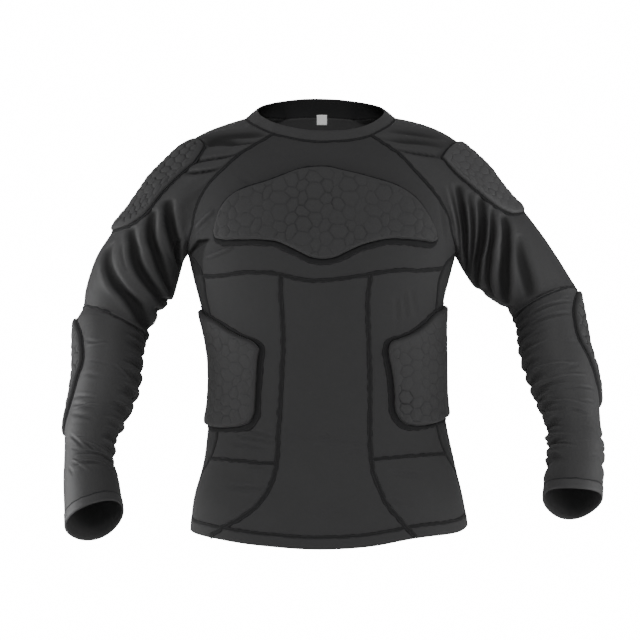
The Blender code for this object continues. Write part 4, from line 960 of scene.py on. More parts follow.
def clearance(flat: Array, outline: Array, room: float) -> Array:
    """How clear of an outline places are: 0 inside it, 1 from the given room outside it."""
    far = outline_distance(flat, outline)
    far[inside(flat, outline)] = 0
    return ease(far, 0, room)


class BodyPatch:
    """Place of a pad on the body: distance around from the front centre, and height."""

    ROOM = 4.0

    def __init__(self, rows: Rows) -> None:
        """Draw the pad's outline smoothly through its rows."""
        self.outline = smooth_outline(rows)

    def place(self, flat: Array, lift: Array) -> Array:
        """Points on the body, lifted off the cloth."""
        turn = BODY.turn_at(flat[:, 0], flat[:, 1])
        return BODY.point(turn, flat[:, 1]) + np.reshape(lift, (-1, 1)) * BODY.normal(turn, flat[:, 1])

    def clear(self, turn: Array, height: Array) -> Array:
        """How clear of the pad places on the body are."""
        turn, height = paired(turn, height)
        flat = np.column_stack([BODY.distance(turn, height).ravel(), height.ravel()])
        return clearance(flat, self.outline, self.ROOM).reshape(turn.shape)


def both_edges(rows: Rows) -> Rows:
    """Closed outline from distances along and half widths."""
    return [(down, half) for down, half in rows] + [(down, -half) for down, half in reversed(rows)]


class SleevePatch:
    """Place of a pad on a sleeve: distance down the pad's middle line, and distance to the front."""

    NODES = 240
    SPREAD = 20.0
    FULLNESS = 1.02
    LEAD = 150.0
    ROOM = 5.0

    def __init__(self, form: SleeveForm, rows: Rows, seat: Place) -> None:
        """Draw the pad's outline and measure the sleeve along its middle line."""
        self.form = form
        start, self.middle = seat
        self.reaches = np.linspace(start, form.last, self.NODES)
        self.run = run_length(form.plain(self.middle, self.reaches))
        spread = (form.plain(self.middle + self.SPREAD, self.reaches)
                  - form.plain(self.middle - self.SPREAD, self.reaches))
        self.girth = np.linalg.norm(spread, axis=1) / math.radians(2 * self.SPREAD) * self.FULLNESS
        self.outline = smooth_outline(rows)

    def place(self, flat: Array, lift: Array) -> Array:
        """Points on the sleeve, lifted off the cloth."""
        reach = np.interp(flat[:, 0], self.run, self.reaches)
        degrees = self.middle + np.degrees(flat[:, 1] / np.interp(flat[:, 0], self.run, self.girth))
        outward = self.form.normal(degrees, reach)
        return self.form.plain(degrees, reach) + np.reshape(lift, (-1, 1)) * outward

    def clear(self, degrees: Array, reach: Array) -> Array:
        """How clear of the pad places on the sleeve are."""
        degrees, reach = paired(degrees, reach)
        far = np.interp(reach.ravel(), self.reaches, self.run)
        before = np.minimum(reach.ravel() - self.reaches[0], 0) * self.LEAD
        off = np.radians(wrapped(degrees.ravel() - self.middle))
        flat = np.column_stack([far + before, off * np.interp(far, self.run, self.girth)])
        return clearance(flat, self.outline, self.ROOM).reshape(degrees.shape)


class BodyCloth:
    """Creased outer face of the body."""

    HEM_SWELL = 0.7
    HEM_DEPTH = 17.0
    HEM_EDGE = 2.0
    ARMHOLE_ROOM = (1.0, 8.0)
    PIT_TONE = 0.75
    PIT_EDGE = 1.5

    def __init__(self) -> None:
        """Lay the creases and the places that stay smooth."""
        self.front = straight_creases(FRONT_CREASES)
        self.back = straight_creases(BACK_CREASES)
        self.hem = Level(HEM)
        self.patches = [BodyPatch(CHEST_PAD)] + [BodyPatch(RIB_PAD[side]) for side in Side]
        self.armholes = np.vstack([SLEEVES[side].loop_points[::4] for side in Side])
        self.pits = straight_creases(PIT_SEAMS)

    def above_hem(self, turn: Array, height: Array) -> Array:
        """Height of places above the hem."""
        return height - self.hem.height(wrapped(turn))

    def sink(self, turn: Array, height: Array) -> Array:
        """How far creases sink the cloth at places on the body."""
        turn, height = paired(turn, height)
        turn = wrapped(turn)
        depth = total_sink(self.front, BODY.distance(turn, height), height)
        depth = depth + total_sink(self.back, BODY.from_back(turn, height), height)
        for patch in self.patches:
            depth = depth * patch.clear(turn, height)
        points = BODY.point(turn, height).reshape(-1, 3)
        nearest = np.full(len(points), FAR)
        for spot in self.armholes:
            nearest = np.minimum(nearest, np.sum((points - spot) ** 2, axis=1))
        depth = depth * ease(np.sqrt(nearest), *self.ARMHOLE_ROOM).reshape(depth.shape)
        above = self.above_hem(turn, height)
        clear = ease(above, self.HEM_DEPTH - self.HEM_EDGE, self.HEM_DEPTH + self.HEM_EDGE)
        return depth - self.HEM_SWELL * (1 - clear)

    def shadow(self, turn: Array, height: Array) -> Array:
        """How dark the cloth is by the right armpit: the side panel's darker cloth, and dark seam lines with
        painted shadow along them.
        """
        around = BODY.distance(turn, height)
        flat = np.column_stack([around.ravel(), height.ravel()])
        panel = 1 - clearance(flat, np.array(PIT_PANEL), self.PIT_EDGE).reshape(around.shape)
        return self.PIT_TONE * panel + total_sink(self.pits, around, height)

    def surface(self, turn: Array, height: Array) -> tuple[Array, Array, Array]:
        """Creased points, plain outward directions and depth of the creases."""
        outward = BODY.normal(turn, height)
        depth = self.sink(turn, height)
        return BODY.point(turn, height) - depth[..., None] * outward, outward, depth


class SleeveCloth:
    """Creased outer face of one sleeve."""

    CUFF_SWELL = 0.7
    CUFF_REACH = 14.77
    CUFF_STEP = 0.2
    CUFF_EDGE = 0.05
    CUFF_CALM = (-0.12, 0.03)
    SLANT_REACH = 2.0
    SLANT_STEP = 0.5
    CUFF_SLANT = {Side.RIGHT: (8.0, -1.5, 2.5), Side.LEFT: (0.0, -2.0, 4.5)}
    FINE_SEED = {Side.RIGHT: 5, Side.LEFT: 8}
    FINE_TILT = {Side.RIGHT: (1.0, 1.0), Side.LEFT: (1.0, -1.2)}
    FINE_SPAN = (5.5, 14.3)
    FINE_STEP = 0.42
    # Ranges of start, length, drop, half width and depth, and of how far the start strays
    FINE_RANGES = ((88, 135), (80, 110), (-0.05, 0.35), (1.9, 3), (0.5, 1.5), (-0.14, 0.14))
    # More fine creases: reaches and their step, then the ranges of start, length, drop, half width and depth
    FINE_SETS = (
        ((5.8, 14.2, 0.75), ((18, 60), (35, 60), (-0.3, 0.4), (1.6, 2.4), (0.15, 0.45))),
        ((5.6, 14.2, 0.6), ((195, 215), (40, 52), (-0.3, 0.3), (1.8, 2.8), (0.5, 1.1))),
    )
    BOW_SHARES = (0.2, 0.8)
    GATHER_ARC = (116.0, 228.0)
    GATHER_TILT = 0.1
    GATHER_WIDTH = 4.8
    PULL = (1.8, -1.4)
    LINE_LIP = 0.3
    LINE_TAPER = 1.1
    SEAM_ROOM = (1.0, 9.0)

    def __init__(self, side: Side) -> None:
        """Lay the creases and the places that stay smooth."""
        self.form = SLEEVES[side]
        self.creases = [self.fold(row) for row in UPPER_FOLDS[side] + BACK_FOLDS]
        self.creases += [self.line(row) for row in FOREARM_CREASES[side] + BACK_FOREARM + CUFF_BUMPS[side]]
        first, last = self.GATHER_ARC
        for reach, deep in GATHERS[side]:
            ends = first, reach - self.GATHER_TILT, last, reach + self.GATHER_TILT
            self.creases.append(self.line((*ends, self.GATHER_WIDTH, deep)))
        self.creases += [self.line((*row, *self.PULL)) for row in FOREARM_PULLS[side]]
        self.creases += [self.line(row) for row in self.fine_rows()]
        self.patches = (SleevePatch(self.form, SHOULDER_PAD[side], SHOULDER_SEAT[side]),
                        SleevePatch(self.form, both_edges(ELBOW_PAD), ELBOW_SEAT[side]))

    def spot(self, degrees: float, reach: float) -> Place:
        """Place on the flattened sleeve."""
        around, along = self.form.flat(degrees, reach)
        return float(around), float(along)

    def fold(self, row: Sequence[float]) -> Crease:
        """Bowed fold through three places."""
        a, b, c = self.spot(*row[0:2]), self.spot(*row[2:4]), self.spot(*row[4:6])
        share, across = beside_line(a, c, *b)
        low, high = self.BOW_SHARES
        share = min(max(share, low), high)
        return Crease(a, c, row[6], row[7], across / (4 * share * (1 - share)))

    def line(self, row: Sequence[float]) -> Crease:
        """Straight crease between two places, fading out at its ends."""
        return Crease(self.spot(*row[0:2]), self.spot(*row[2:4]), row[4], row[5], 0, self.LINE_LIP,
                      self.LINE_TAPER)

    def fine_rows(self) -> Rows:
        """Small seeded creases that gather the forearm, most of them on its inner side."""
        rng = np.random.default_rng(self.FINE_SEED[self.form.side])
        rows = []
        for reach in np.arange(*self.FINE_SPAN, self.FINE_STEP):
            start, length, drop, width, deep, stray = (rng.uniform(*span) for span in self.FINE_RANGES)
            drop = drop * np.interp(reach, self.FINE_SPAN, self.FINE_TILT[self.form.side])
            rows.append((start, reach + stray, start + length, reach + drop, width, deep))
        for reaches, ranges in self.FINE_SETS:
            for reach in np.arange(*reaches):
                start, length, drop, width, deep = (rng.uniform(*span) for span in ranges)
                rows.append((start, reach, start + length, reach + drop, width, deep))
        return rows

    def sink(self, degrees: Array, reach: Array) -> Array:
        """How far creases sink the cloth at places on the sleeve."""
        degrees, reach = paired(degrees, reach)
        around, along = self.form.flat(degrees, reach)
        depth = total_sink(self.creases, around, along)
        for patch in self.patches:
            depth = depth * patch.clear(degrees, reach)
        cap = self.form.around_loop(degrees, self.form.cap_length)
        depth = depth * np.where(reach < 1, ease(reach * cap, *self.SEAM_ROOM), 1)
        low, high = self.CUFF_CALM
        depth = depth * (1 - ease(reach, self.CUFF_REACH + low, self.CUFF_REACH + high))
        turned = ease(reach, self.CUFF_REACH - self.CUFF_EDGE, self.CUFF_REACH + self.CUFF_EDGE)
        return depth - self.CUFF_SWELL * turned

    def surface(self, degrees: Array, reach: Array) -> tuple[Array, Array, Array]:
        """Creased points, plain outward directions and depth of the creases."""
        outward = self.form.normal(degrees, reach)
        depth = self.sink(degrees, reach)
        points = self.form.plain(degrees, reach) - depth[..., None] * outward
        return points + self.cuff_slant(degrees, reach), outward, depth

    def cuff_slant(self, degrees: Array, reach: Array) -> Array:
        """How far the cuff's edge runs out along the arm, so that it sits at a slant."""
        degrees, reach = paired(degrees, reach)
        swing, lean, level = self.CUFF_SLANT[self.form.side]
        turn = np.radians(degrees)
        shift = swing * np.cos(turn) + lean * np.sin(turn) - level * (1 + np.cos(2 * turn))
        shift = shift * ease(reach, self.CUFF_REACH - self.SLANT_REACH, self.form.last)
        last = self.form.last
        along = unit(self.form.plain(degrees, np.full(degrees.shape, last))
                     - self.form.plain(degrees, np.full(degrees.shape, last - self.SLANT_STEP)))
        return shift[..., None] * along


# Finishes


class Graph:
    """Adds and joins the nodes of one node tree."""

    def __init__(self, tree: Tree) -> None:
        """Keep the tree."""
        self.tree = tree

    def node(self, kind: str, **settings: object) -> bpy.types.Node:
        """Add a node and set its properties."""
        item = self.tree.nodes.new(kind)
        for name, value in settings.items():
            setattr(item, name, value)
        return item

    def feed(self, socket: Socket, value: object) -> None:
        """Link a socket, or set its value."""
        if isinstance(value, Socket):
            self.tree.links.new(value, socket)
        else:
            socket.default_value = value

    def maths(self, operation: str, first: object, second: object = 0) -> Socket:
        """Result of one sum."""
        item = self.node("ShaderNodeMath", operation=operation)
        self.feed(item.inputs[0], first)
        self.feed(item.inputs[1], second)
        return item.outputs[0]

    def plus(self, first: object, second: object) -> Socket:
        """Sum of two values."""
        return self.maths("ADD", first, second)

    def times(self, first: object, second: object) -> Socket:
        """Product of two values."""
        return self.maths("MULTIPLY", first, second)

    def settle(self, node: bpy.types.Node, values: dict[str, object]) -> None:
        """Link or set several inputs of a node."""
        for name, value in values.items():
            self.feed(node.inputs[name], value)

    def noise(self, place: object, scale: float, detail: float) -> Socket:
        """Soft noise from 0 to 1."""
        item = self.node("ShaderNodeTexNoise")
        self.settle(item, {"Vector": place, "Scale": scale, "Detail": detail})
        return item.outputs["Fac"]

    def scaled(self, colour: object, factor: object) -> Socket:
        """Colour multiplied by a number."""
        item = self.node("ShaderNodeVectorMath", operation="SCALE")
        self.feed(item.inputs[0], colour)
        self.feed(item.inputs["Scale"], factor)
        return item.outputs[0]


def new_material(name: str) -> tuple[Material, Graph, bpy.types.Node]:
    """A new node material, its graph and its Principled shader."""
    made = bpy.data.materials.new(name)
    made.use_nodes = True
    return made, Graph(made.node_tree), made.node_tree.nodes["Principled BSDF"]


FLOAT, COLOUR = "NodeSocketFloat", "NodeSocketColor"


def new_group(name: str, inputs: dict[str, str], outputs: dict[str, str]
              ) -> tuple[Graph, bpy.types.Node, bpy.types.Node]:
    """Start a shader node group.

    Args:
        name: name of the group.
        inputs: names and socket types of its inputs.
        outputs: names and socket types of its outputs.

    Returns:
        The group's graph, its input node and its output node.
    """
    tree = bpy.data.node_groups.new(name, "ShaderNodeTree")
    for way, sockets in (("INPUT", inputs), ("OUTPUT", outputs)):
        for title, kind in sockets.items():
            tree.interface.new_socket(title, in_out=way, socket_type=kind)
    graph = Graph(tree)
    return graph, graph.node("NodeGroupInput"), graph.node("NodeGroupOutput")


def cloth_tone_group() -> Tree:
    """Colour that varies over the cloth: dye patches, yarn flecks, and painted shade and painted light held
    in the crease attribute.
    """
    graph, start, end = new_group(
        "cloth_tone", {"Tone": COLOUR, "Patches": FLOAT, "Flecks": FLOAT, "Depth": FLOAT},
        {"Color": COLOUR, "Rough": FLOAT})
    patch_scale, fleck_scale, rough_share = 17, 1150, 0.16
    place = graph.node("ShaderNodeTexCoord").outputs["Object"]
    # The crease attribute holds painted shade, which darkens the colour, and painted light, which lightens it
    crease = graph.node("ShaderNodeAttribute", attribute_name="crease").outputs["Fac"]
    patches = graph.maths("SUBTRACT", graph.noise(place, patch_scale, 3), 0.5)
    flecks = graph.maths("SUBTRACT", graph.noise(place, fleck_scale, 2), 0.5)
    light = graph.plus(graph.times(patches, start.outputs["Patches"]), 1)
    light = graph.plus(graph.times(flecks, start.outputs["Flecks"]), light)
    dark = graph.maths("SUBTRACT", 1, graph.times(crease, start.outputs["Depth"]))
    graph.settle(end, {"Color": graph.scaled(start.outputs["Tone"], graph.times(light, dark)),
                       "Rough": graph.times(graph.plus(patches, crease), rough_share)})
    return graph.tree


def knit_loops_group() -> Tree:
    """Height of knitted loops in rows and columns over the cloth coordinates."""
    graph, start, end = new_group("knit_loops", {"Pitch": FLOAT, "Fuzz": FLOAT}, {"Height": FLOAT})
    course_share, loop_lean, loop_share, fuzz_scale = 0.75, 1.3, 0.35, 3200
    place = graph.node("ShaderNodeUVMap", uv_map="cloth").outputs["UV"]
    split = graph.node("ShaderNodeSeparateXYZ")
    graph.feed(split.inputs[0], place)
    turns = graph.maths("DIVIDE", 2 * math.pi, start.outputs["Pitch"])
    column = graph.times(split.outputs["X"], turns)
    course = graph.times(split.outputs["Y"], graph.times(turns, course_share))
    lean = graph.times(graph.maths("COSINE", column), loop_lean)
    rib = graph.maths("ABSOLUTE", graph.maths("SINE", graph.times(column, 0.5)))
    wave = graph.maths("SINE", graph.plus(course, lean))
    loop = graph.plus(graph.times(wave, loop_share), 1 - loop_share)
    fuzz = graph.times(graph.noise(place, fuzz_scale, 2), start.outputs["Fuzz"])
    graph.feed(end.inputs["Height"], graph.plus(graph.times(rib, loop), fuzz))
    return graph.tree


@dataclass(frozen=True)
class Finish:
    """Look of one material.

    Colours are linear. Pitch is the width of one knitted loop in metres. The depth field is how strongly the
    painted shade and painted light held in the crease attribute darken and lighten the colour, and glow is
    painted light that the colour gives off.
    """

    LOOP_RELIEF = 0.3

    name: str
    tone: Spot
    roughness: float
    patches: float = 0.22
    flecks: float = 0.5
    depth: float = 0.5
    pitch: float = 0.0011
    bump: float = 0.35
    fuzz: float = 0.35
    sheen: float = 0.25
    sheen_roughness: float = 0.45
    specular: float = 0.3
    glow: float = 0.0

    def material(self, groups: dict[str, Tree]) -> Material:
        """Build the node material."""
        made, graph, shader = new_material(self.name)
        colour = (*self.tone, 1)
        tone = graph.node("ShaderNodeGroup", node_tree=groups["cloth_tone"])
        graph.settle(tone, {"Tone": colour, "Patches": self.patches, "Flecks": self.flecks,
                            "Depth": self.depth})
        knit = graph.node("ShaderNodeGroup", node_tree=groups["knit_loops"])
        graph.settle(knit, {"Pitch": self.pitch, "Fuzz": self.fuzz})
        bump = graph.node("ShaderNodeBump")
        graph.settle(bump, {"Strength": self.bump, "Distance": self.LOOP_RELIEF * self.pitch,
                            "Height": knit.outputs["Height"]})
        graph.settle(shader, {
            "Base Color": tone.outputs["Color"], "Normal": bump.outputs["Normal"],
            "Roughness": graph.plus(tone.outputs["Rough"], self.roughness),
            "Sheen Weight": self.sheen, "Sheen Roughness": self.sheen_roughness,
            "Specular IOR Level": self.specular, "Emission Color": colour, "Emission Strength": self.glow})
        return made


KNIT = Finish("charcoal_knit", (0.049, 0.049, 0.050), 0.8, bump=0.25, sheen=0.05)
SLEEVE_KNIT = Finish("sleeve_stretch_knit", (0.051, 0.051, 0.052), 0.6, bump=0.25, sheen=0.05, specular=0.35,
                     depth=0.72)
SIDE_KNIT = Finish("side_mesh_knit", (0.036, 0.036, 0.037), 0.75, pitch=0.0016, bump=0.5, sheen=0.05)
COLLAR_RIB = Finish("collar_rib", (0.062, 0.062, 0.063), 0.75, pitch=0.0018, bump=0.6, sheen=0.06)
# The inner faces are the same cloth as the outside: their tones, lighter inside the body and the sleeves and
# darker inside the collar, are painted light and painted shade
INSIDE = Finish("cloth_inside", (0.094, 0.094, 0.095), 0.85, sheen=0.0, specular=0.1, depth=0.2)
COLLAR_INSIDE = replace(INSIDE, name="collar_inside", tone=(0.034, 0.034, 0.035))
SLEEVE_INSIDE = replace(INSIDE, name="sleeve_inside", tone=(0.078, 0.078, 0.079))
PAD_COVER = Finish("pad_cover_knit", (0.055, 0.055, 0.056), 0.7, bump=0.25, depth=0.55, pitch=0.0009,
                   sheen=0.06)
SEAM_BAND = Finish("seam_band", (0.019, 0.019, 0.020), 0.8, pitch=0.0016, bump=0.6, sheen=0.05)
THREAD = Finish("stitch_thread", (0.027, 0.027, 0.028), 0.6, pitch=0.0005, sheen=0.1)
# The label glows: painted light that keeps it white in the shade inside the neck
LABEL_TAPE = Finish("label_tape", (0.88, 0.88, 0.87), 0.6, patches=0.05, flecks=0.1, pitch=0.0005,
                    sheen=0.1, glow=0.3)


class FinishRack:
    """Every material of the shirt, made once."""

    def __init__(self) -> None:
        """Make the node groups and an empty rack."""
        self.groups = {"cloth_tone": cloth_tone_group(), "knit_loops": knit_loops_group()}
        self.made: dict[str, Material] = {}

    def take(self, finish: Finish) -> Material:
        """Material of a finish."""
        if finish.name not in self.made:
            self.made[finish.name] = finish.material(self.groups)
        return self.made[finish.name]


# Sewn pieces


class Slot(Enum):
    """Material slots of the cloth pieces."""

    KNIT = "knit"
    SLEEVE_KNIT = "sleeve_knit"
    SIDE_KNIT = "side_knit"
    COLLAR_RIB = "collar_rib"
    PAD_COVER = "pad_cover"
    LABEL_TAPE = "label_tape"


@dataclass(frozen=True)
class Seam:
    """A sewn line: its points, the cloth's outward directions, its width and how far it stands out."""

    EDGE_DROP = 0.25

    points: Array
    outward: Array
    width: Array | float
    closed: bool = False
    crown: float = 0.9
    rows: tuple[float, ...] = (-0.5, 0.5)

    def lift(self, share: Array | float) -> Array | float:
        """Height of the band above the cloth at shares of its half width."""
        return self.crown * (1 - share**4) - self.EDGE_DROP * share**4


def dress(piece: Piece, node: str | None) -> None:
    """Ride a piece on the shirt, hide the solid it stands for and report it."""
    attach(piece, "root")
    if node:
        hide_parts(node)
    LOG.info("%s: %d faces", piece.name, len(piece.data.polygons))


def declare_cloth(piece: Piece, sheet: Sheet) -> None:
    """Report the width, length and area a piece of cloth was cut to."""
    width, length, area = sheet.flat_size()
    area = min(area, width * length)
    LOG.info("%s cut %.3f by %.3f m, %.4f square metres", piece.name, width, length, area)


Panels = dict[str, tuple[Sheet, Array, Slot]]


@dataclass
class Torso:
    """Body panels from the collar to the hem, and the seam lines between them."""

    FORE_GUESS = (-590.0, -490.0, -225.0)
    PRINCESS_GUESS = (-598.0, -490.0, -228.0)
    AFT_GUESS = -600.0
    # Painted shade in the troughs and painted light on the ridges: strength, and the depths between which
    # each grows
    TROUGH_SHADE, TROUGH_DEPTHS = 0.4, (0.2, 3.0)
    RIDGE_LIGHT, RIDGE_DEPTHS = 0.55, (0.9, 3.2)
    HEM_TURN = (15.0, 20.0)

    cloth: BodyCloth
    wall: float = 1.8
    hem_wall: float = 2.8
    raglan_steps: int = 78
    side_steps: int = 56
    centre_steps: int = 72
    strip_steps: int = 24
    back_steps: int = 108
    yoke_rows: int = 16
    waist_rows: int = 92
    hip_rows: int = 44
    hem_steps: int = 480
    chest_band: float = 7.0
    princess_band: float = 8.2
    hip_band: float = 6.0
    side_band: float = 5.6
    hem_band: float = 6.0
    flat_crown: float = 0.8
    hem_crown: float = 0.6

    def __post_init__(self) -> None:
        """Lay every seam line as turns and heights."""
        self.under_chest, self.hip, self.hem = Level(UNDER_CHEST), Level(HIP), Level(HEM)
        self.raglan_front: dict[Side, Array] = {}
        self.raglan_back: dict[Side, Array] = {}
        self.fore: dict[Side, dict[str, Array]] = {}
        self.aft: dict[Side, Array] = {}
        self.princess: dict[Side, dict[str, Array]] = {}
        for side in Side:
            self.lay_side(side)
        self.lay_neck()
        self.lay_chest()

    def heights(self, seam: Upright, guesses: tuple[float, float, float]) -> list[float]:
        """Heights where an upright seam crosses the hem, the hip seam and the seam under the chest."""
        levels = self.hem, self.hip, self.under_chest
        return [seam.meets(level, guess)[1] for level, guess in zip(levels, guesses)]

    @staticmethod
    def whole(parts: dict[str, Array]) -> Array:
        """The parts of a seam joined, from the hem up."""
        return join(*parts.values())

    def lay_side(self, side: Side) -> None:
        """Lay the seam lines of one side."""
        form = SLEEVES[side]
        front = np.linspace(180 - UNDERARM_ARC, NECK_ARC, self.raglan_steps + 1)
        back = np.linspace(180 + UNDERARM_ARC, 360 - NECK_ARC, self.raglan_steps + 1)
        self.raglan_front[side] = np.array([form.seam_spot(degrees) for degrees in front])
        self.raglan_back[side] = np.array([form.seam_spot(degrees) for degrees in back])
        seam = Upright(SIDE_FRONT, side.sign)
        hem, hip, chest = self.heights(seam, self.FORE_GUESS)
        yoke = seam.line(chest, self.raglan_front[side][0][1], self.yoke_rows)
        yoke[-1] = self.raglan_front[side][0]
        self.fore[side] = {"hip": seam.line(hem, hip, self.hip_rows),
                           "waist": seam.line(hip, chest, self.waist_rows), "yoke": yoke}
        heights = self.whole(self.fore[side])[:, 1]
        seam = Upright(SIDE_BACK, side.sign)
        foot = seam.meets(self.hem, self.AFT_GUESS)
        top = self.raglan_back[side][0]
        heights = np.interp(heights, [heights[0], heights[-1]], [foot[1], top[1]])
        self.aft[side] = np.column_stack([seam.turn(heights), heights])
        self.aft[side][-1] = top
        seam = Upright(PRINCESS[side])
        hem, hip, chest = self.heights(seam, self.PRINCESS_GUESS)
        self.princess[side] = {"hip": seam.line(hem, hip, self.hip_rows),
                               "waist": seam.line(hip, chest, self.waist_rows)}

    def lay_neck(self) -> None:
        """Lay the front and back arcs of the neck."""
        right, left = self.raglan_front[Side.RIGHT][-1], self.raglan_front[Side.LEFT][-1]
        self.neck_front = Level(NECK_FRONT).line(right[0], left[0], 2 * self.side_steps + self.centre_steps)
        self.neck_front[0], self.neck_front[-1] = right, left
        first, last = self.raglan_back[Side.LEFT][-1], self.raglan_back[Side.RIGHT][-1]
        share = np.linspace(0, 1, self.back_steps + 1)
        rise = NECK_BACK_HEIGHT - 0.5 * (first[1] + last[1])
        heights = first[1] + share * (last[1] - first[1]) + 4 * share * (1 - share) * rise
        turns = np.linspace(first[0], 360 + last[0], self.back_steps + 1)
        self.neck_back = np.column_stack([turns, heights])

    def lay_chest(self) -> None:
        """Lay the seam under the chest."""
        outer = {side: self.fore[side]["yoke"][0][0] for side in Side}
        inner = {side: self.princess[side]["waist"][-1][0] for side in Side}
        turns = outer[Side.RIGHT], inner[Side.RIGHT], inner[Side.LEFT], outer[Side.LEFT]
        steps = self.side_steps, self.centre_steps, self.side_steps
        self.chest = join(*(self.under_chest.line(*span) for span in zip(turns, turns[1:], steps)))

    def sheet(self, bottom: Array, top: Array, left: Array, right: Array) -> Sheet:
        """Creased cloth between four seam lines."""
        spots = fill(bottom, top, left, right)
        places = spots[..., 0], spots[..., 1]
        points, outward, depth = self.cloth.surface(*places)
        # Painted shade in the troughs and painted light on the ridges, then the darker cloth and painted
        # shadow by the right armpit
        shade = (self.TROUGH_SHADE * ease(depth, *self.TROUGH_DEPTHS)
                 - self.RIDGE_LIGHT * ease(-depth, *self.RIDGE_DEPTHS))
        return Sheet(points, BODY.point(*places), shade + self.cloth.shadow(*places), outward)

    def walls(self, line: Array) -> Array:
        """Thickness of the cloth up a line of nodes, more in the turned hem."""
        above = self.cloth.above_hem(line[:, 0], line[:, 1])
        return self.hem_wall + (self.wall - self.hem_wall) * ease(above, *self.HEM_TURN)

    def panels(self) -> Panels:
        """Every body panel: its cloth, its thickness by row and its slot."""
        made: Panels = {}
        right, left = Side.RIGHT, Side.LEFT
        edges = [join(self.fore[side]["yoke"], self.raglan_front[side]) for side in (right, left)]
        yoke = self.sheet(self.chest, self.neck_front, *edges)
        made["front_yoke"] = (yoke, self.walls(edges[0]), Slot.KNIT)
        edges = [self.whole(self.princess[side]) for side in (right, left)]
        foot = self.hem.line(edges[0][0][0], edges[1][0][0], self.centre_steps)
        top = self.chest[self.side_steps:self.side_steps + self.centre_steps + 1]
        made["front_centre"] = (self.sheet(foot, top, *edges), self.walls(edges[0]), Slot.KNIT)
        for side in Side:
            made.update(self.side_pieces(side))
        shift = np.array([360, 0])
        edges = [join(self.aft[left], self.raglan_back[left]),
                 join(self.aft[right] + shift, self.raglan_back[right] + shift)]
        foot = self.hem.line(edges[0][0][0], edges[1][0][0], self.back_steps)
        made["back"] = (self.sheet(foot, self.neck_back, *edges), self.walls(edges[0]), Slot.KNIT)
        return made

    def side_pieces(self, side: Side) -> Panels:
        """Front side, front hip and side strip of one side."""
        made: Panels = {}
        outer, inner = self.fore[side], self.princess[side]
        for name, part, low, high in (("front_side", "waist", self.hip, self.under_chest),
                                      ("front_hip", "hip", self.hem, self.hip)):
            foot = low.line(outer[part][0][0], inner[part][0][0], self.side_steps)
            top = high.line(outer[part][-1][0], inner[part][-1][0], self.side_steps)
            edges = (outer[part], inner[part])
            if side is Side.LEFT:
                foot, top, edges = foot[::-1], top[::-1], edges[::-1]
            made[f"{name}_{side.value}"] = (self.sheet(foot, top, *edges), self.walls(outer[part]), Slot.KNIT)
        fore, aft = self.whole(outer), self.aft[side]
        foot = self.hem.line(fore[0][0], aft[0][0], self.strip_steps)
        ratio = np.linspace(0, 1, self.strip_steps + 1)[:, None]
        top = fore[-1] + ratio * (aft[-1] - fore[-1])
        edges = (fore, aft)
        if side is Side.RIGHT:
            foot, top, edges = foot[::-1], top[::-1], edges[::-1]
        made[f"side_panel_{side.value}"] = (self.sheet(foot, top, *edges), self.walls(fore), Slot.SIDE_KNIT)
        return made

    def seam(self, line: Array, width: float, crown: float = 0.9, closed: bool = False) -> Seam:
        """Sewn band along a line of turns and heights."""
        points, outward, _ = self.cloth.surface(line[:, 0], line[:, 1])
        return Seam(points, outward, width, closed, crown)

    def seams(self) -> dict[str, list[Seam]]:
        """Every band sewn over the body's seams."""
        front, strips = [self.seam(self.chest, self.chest_band)], []
        for side in Side:
            fore, princess = self.fore[side], self.princess[side]
            front.append(self.seam(self.whole(princess)[1:], self.princess_band))
            hip = self.hip.line(fore["hip"][-1][0], princess["hip"][-1][0], self.side_steps)
            front.append(self.seam(hip, self.hip_band, self.flat_crown))
            for line in (self.whole(fore), self.aft[side]):
                strips.append(self.seam(line, self.side_band, self.flat_crown))
        turns = np.linspace(-180, 180, self.hem_steps, endpoint=False)
        line = np.column_stack([turns, self.hem.height(turns) + BodyCloth.HEM_DEPTH])
        hem = self.seam(line, self.hem_band, self.hem_crown, True)
        return {"seams_front": front, "seams_side": strips, "seams_hem": [hem]}


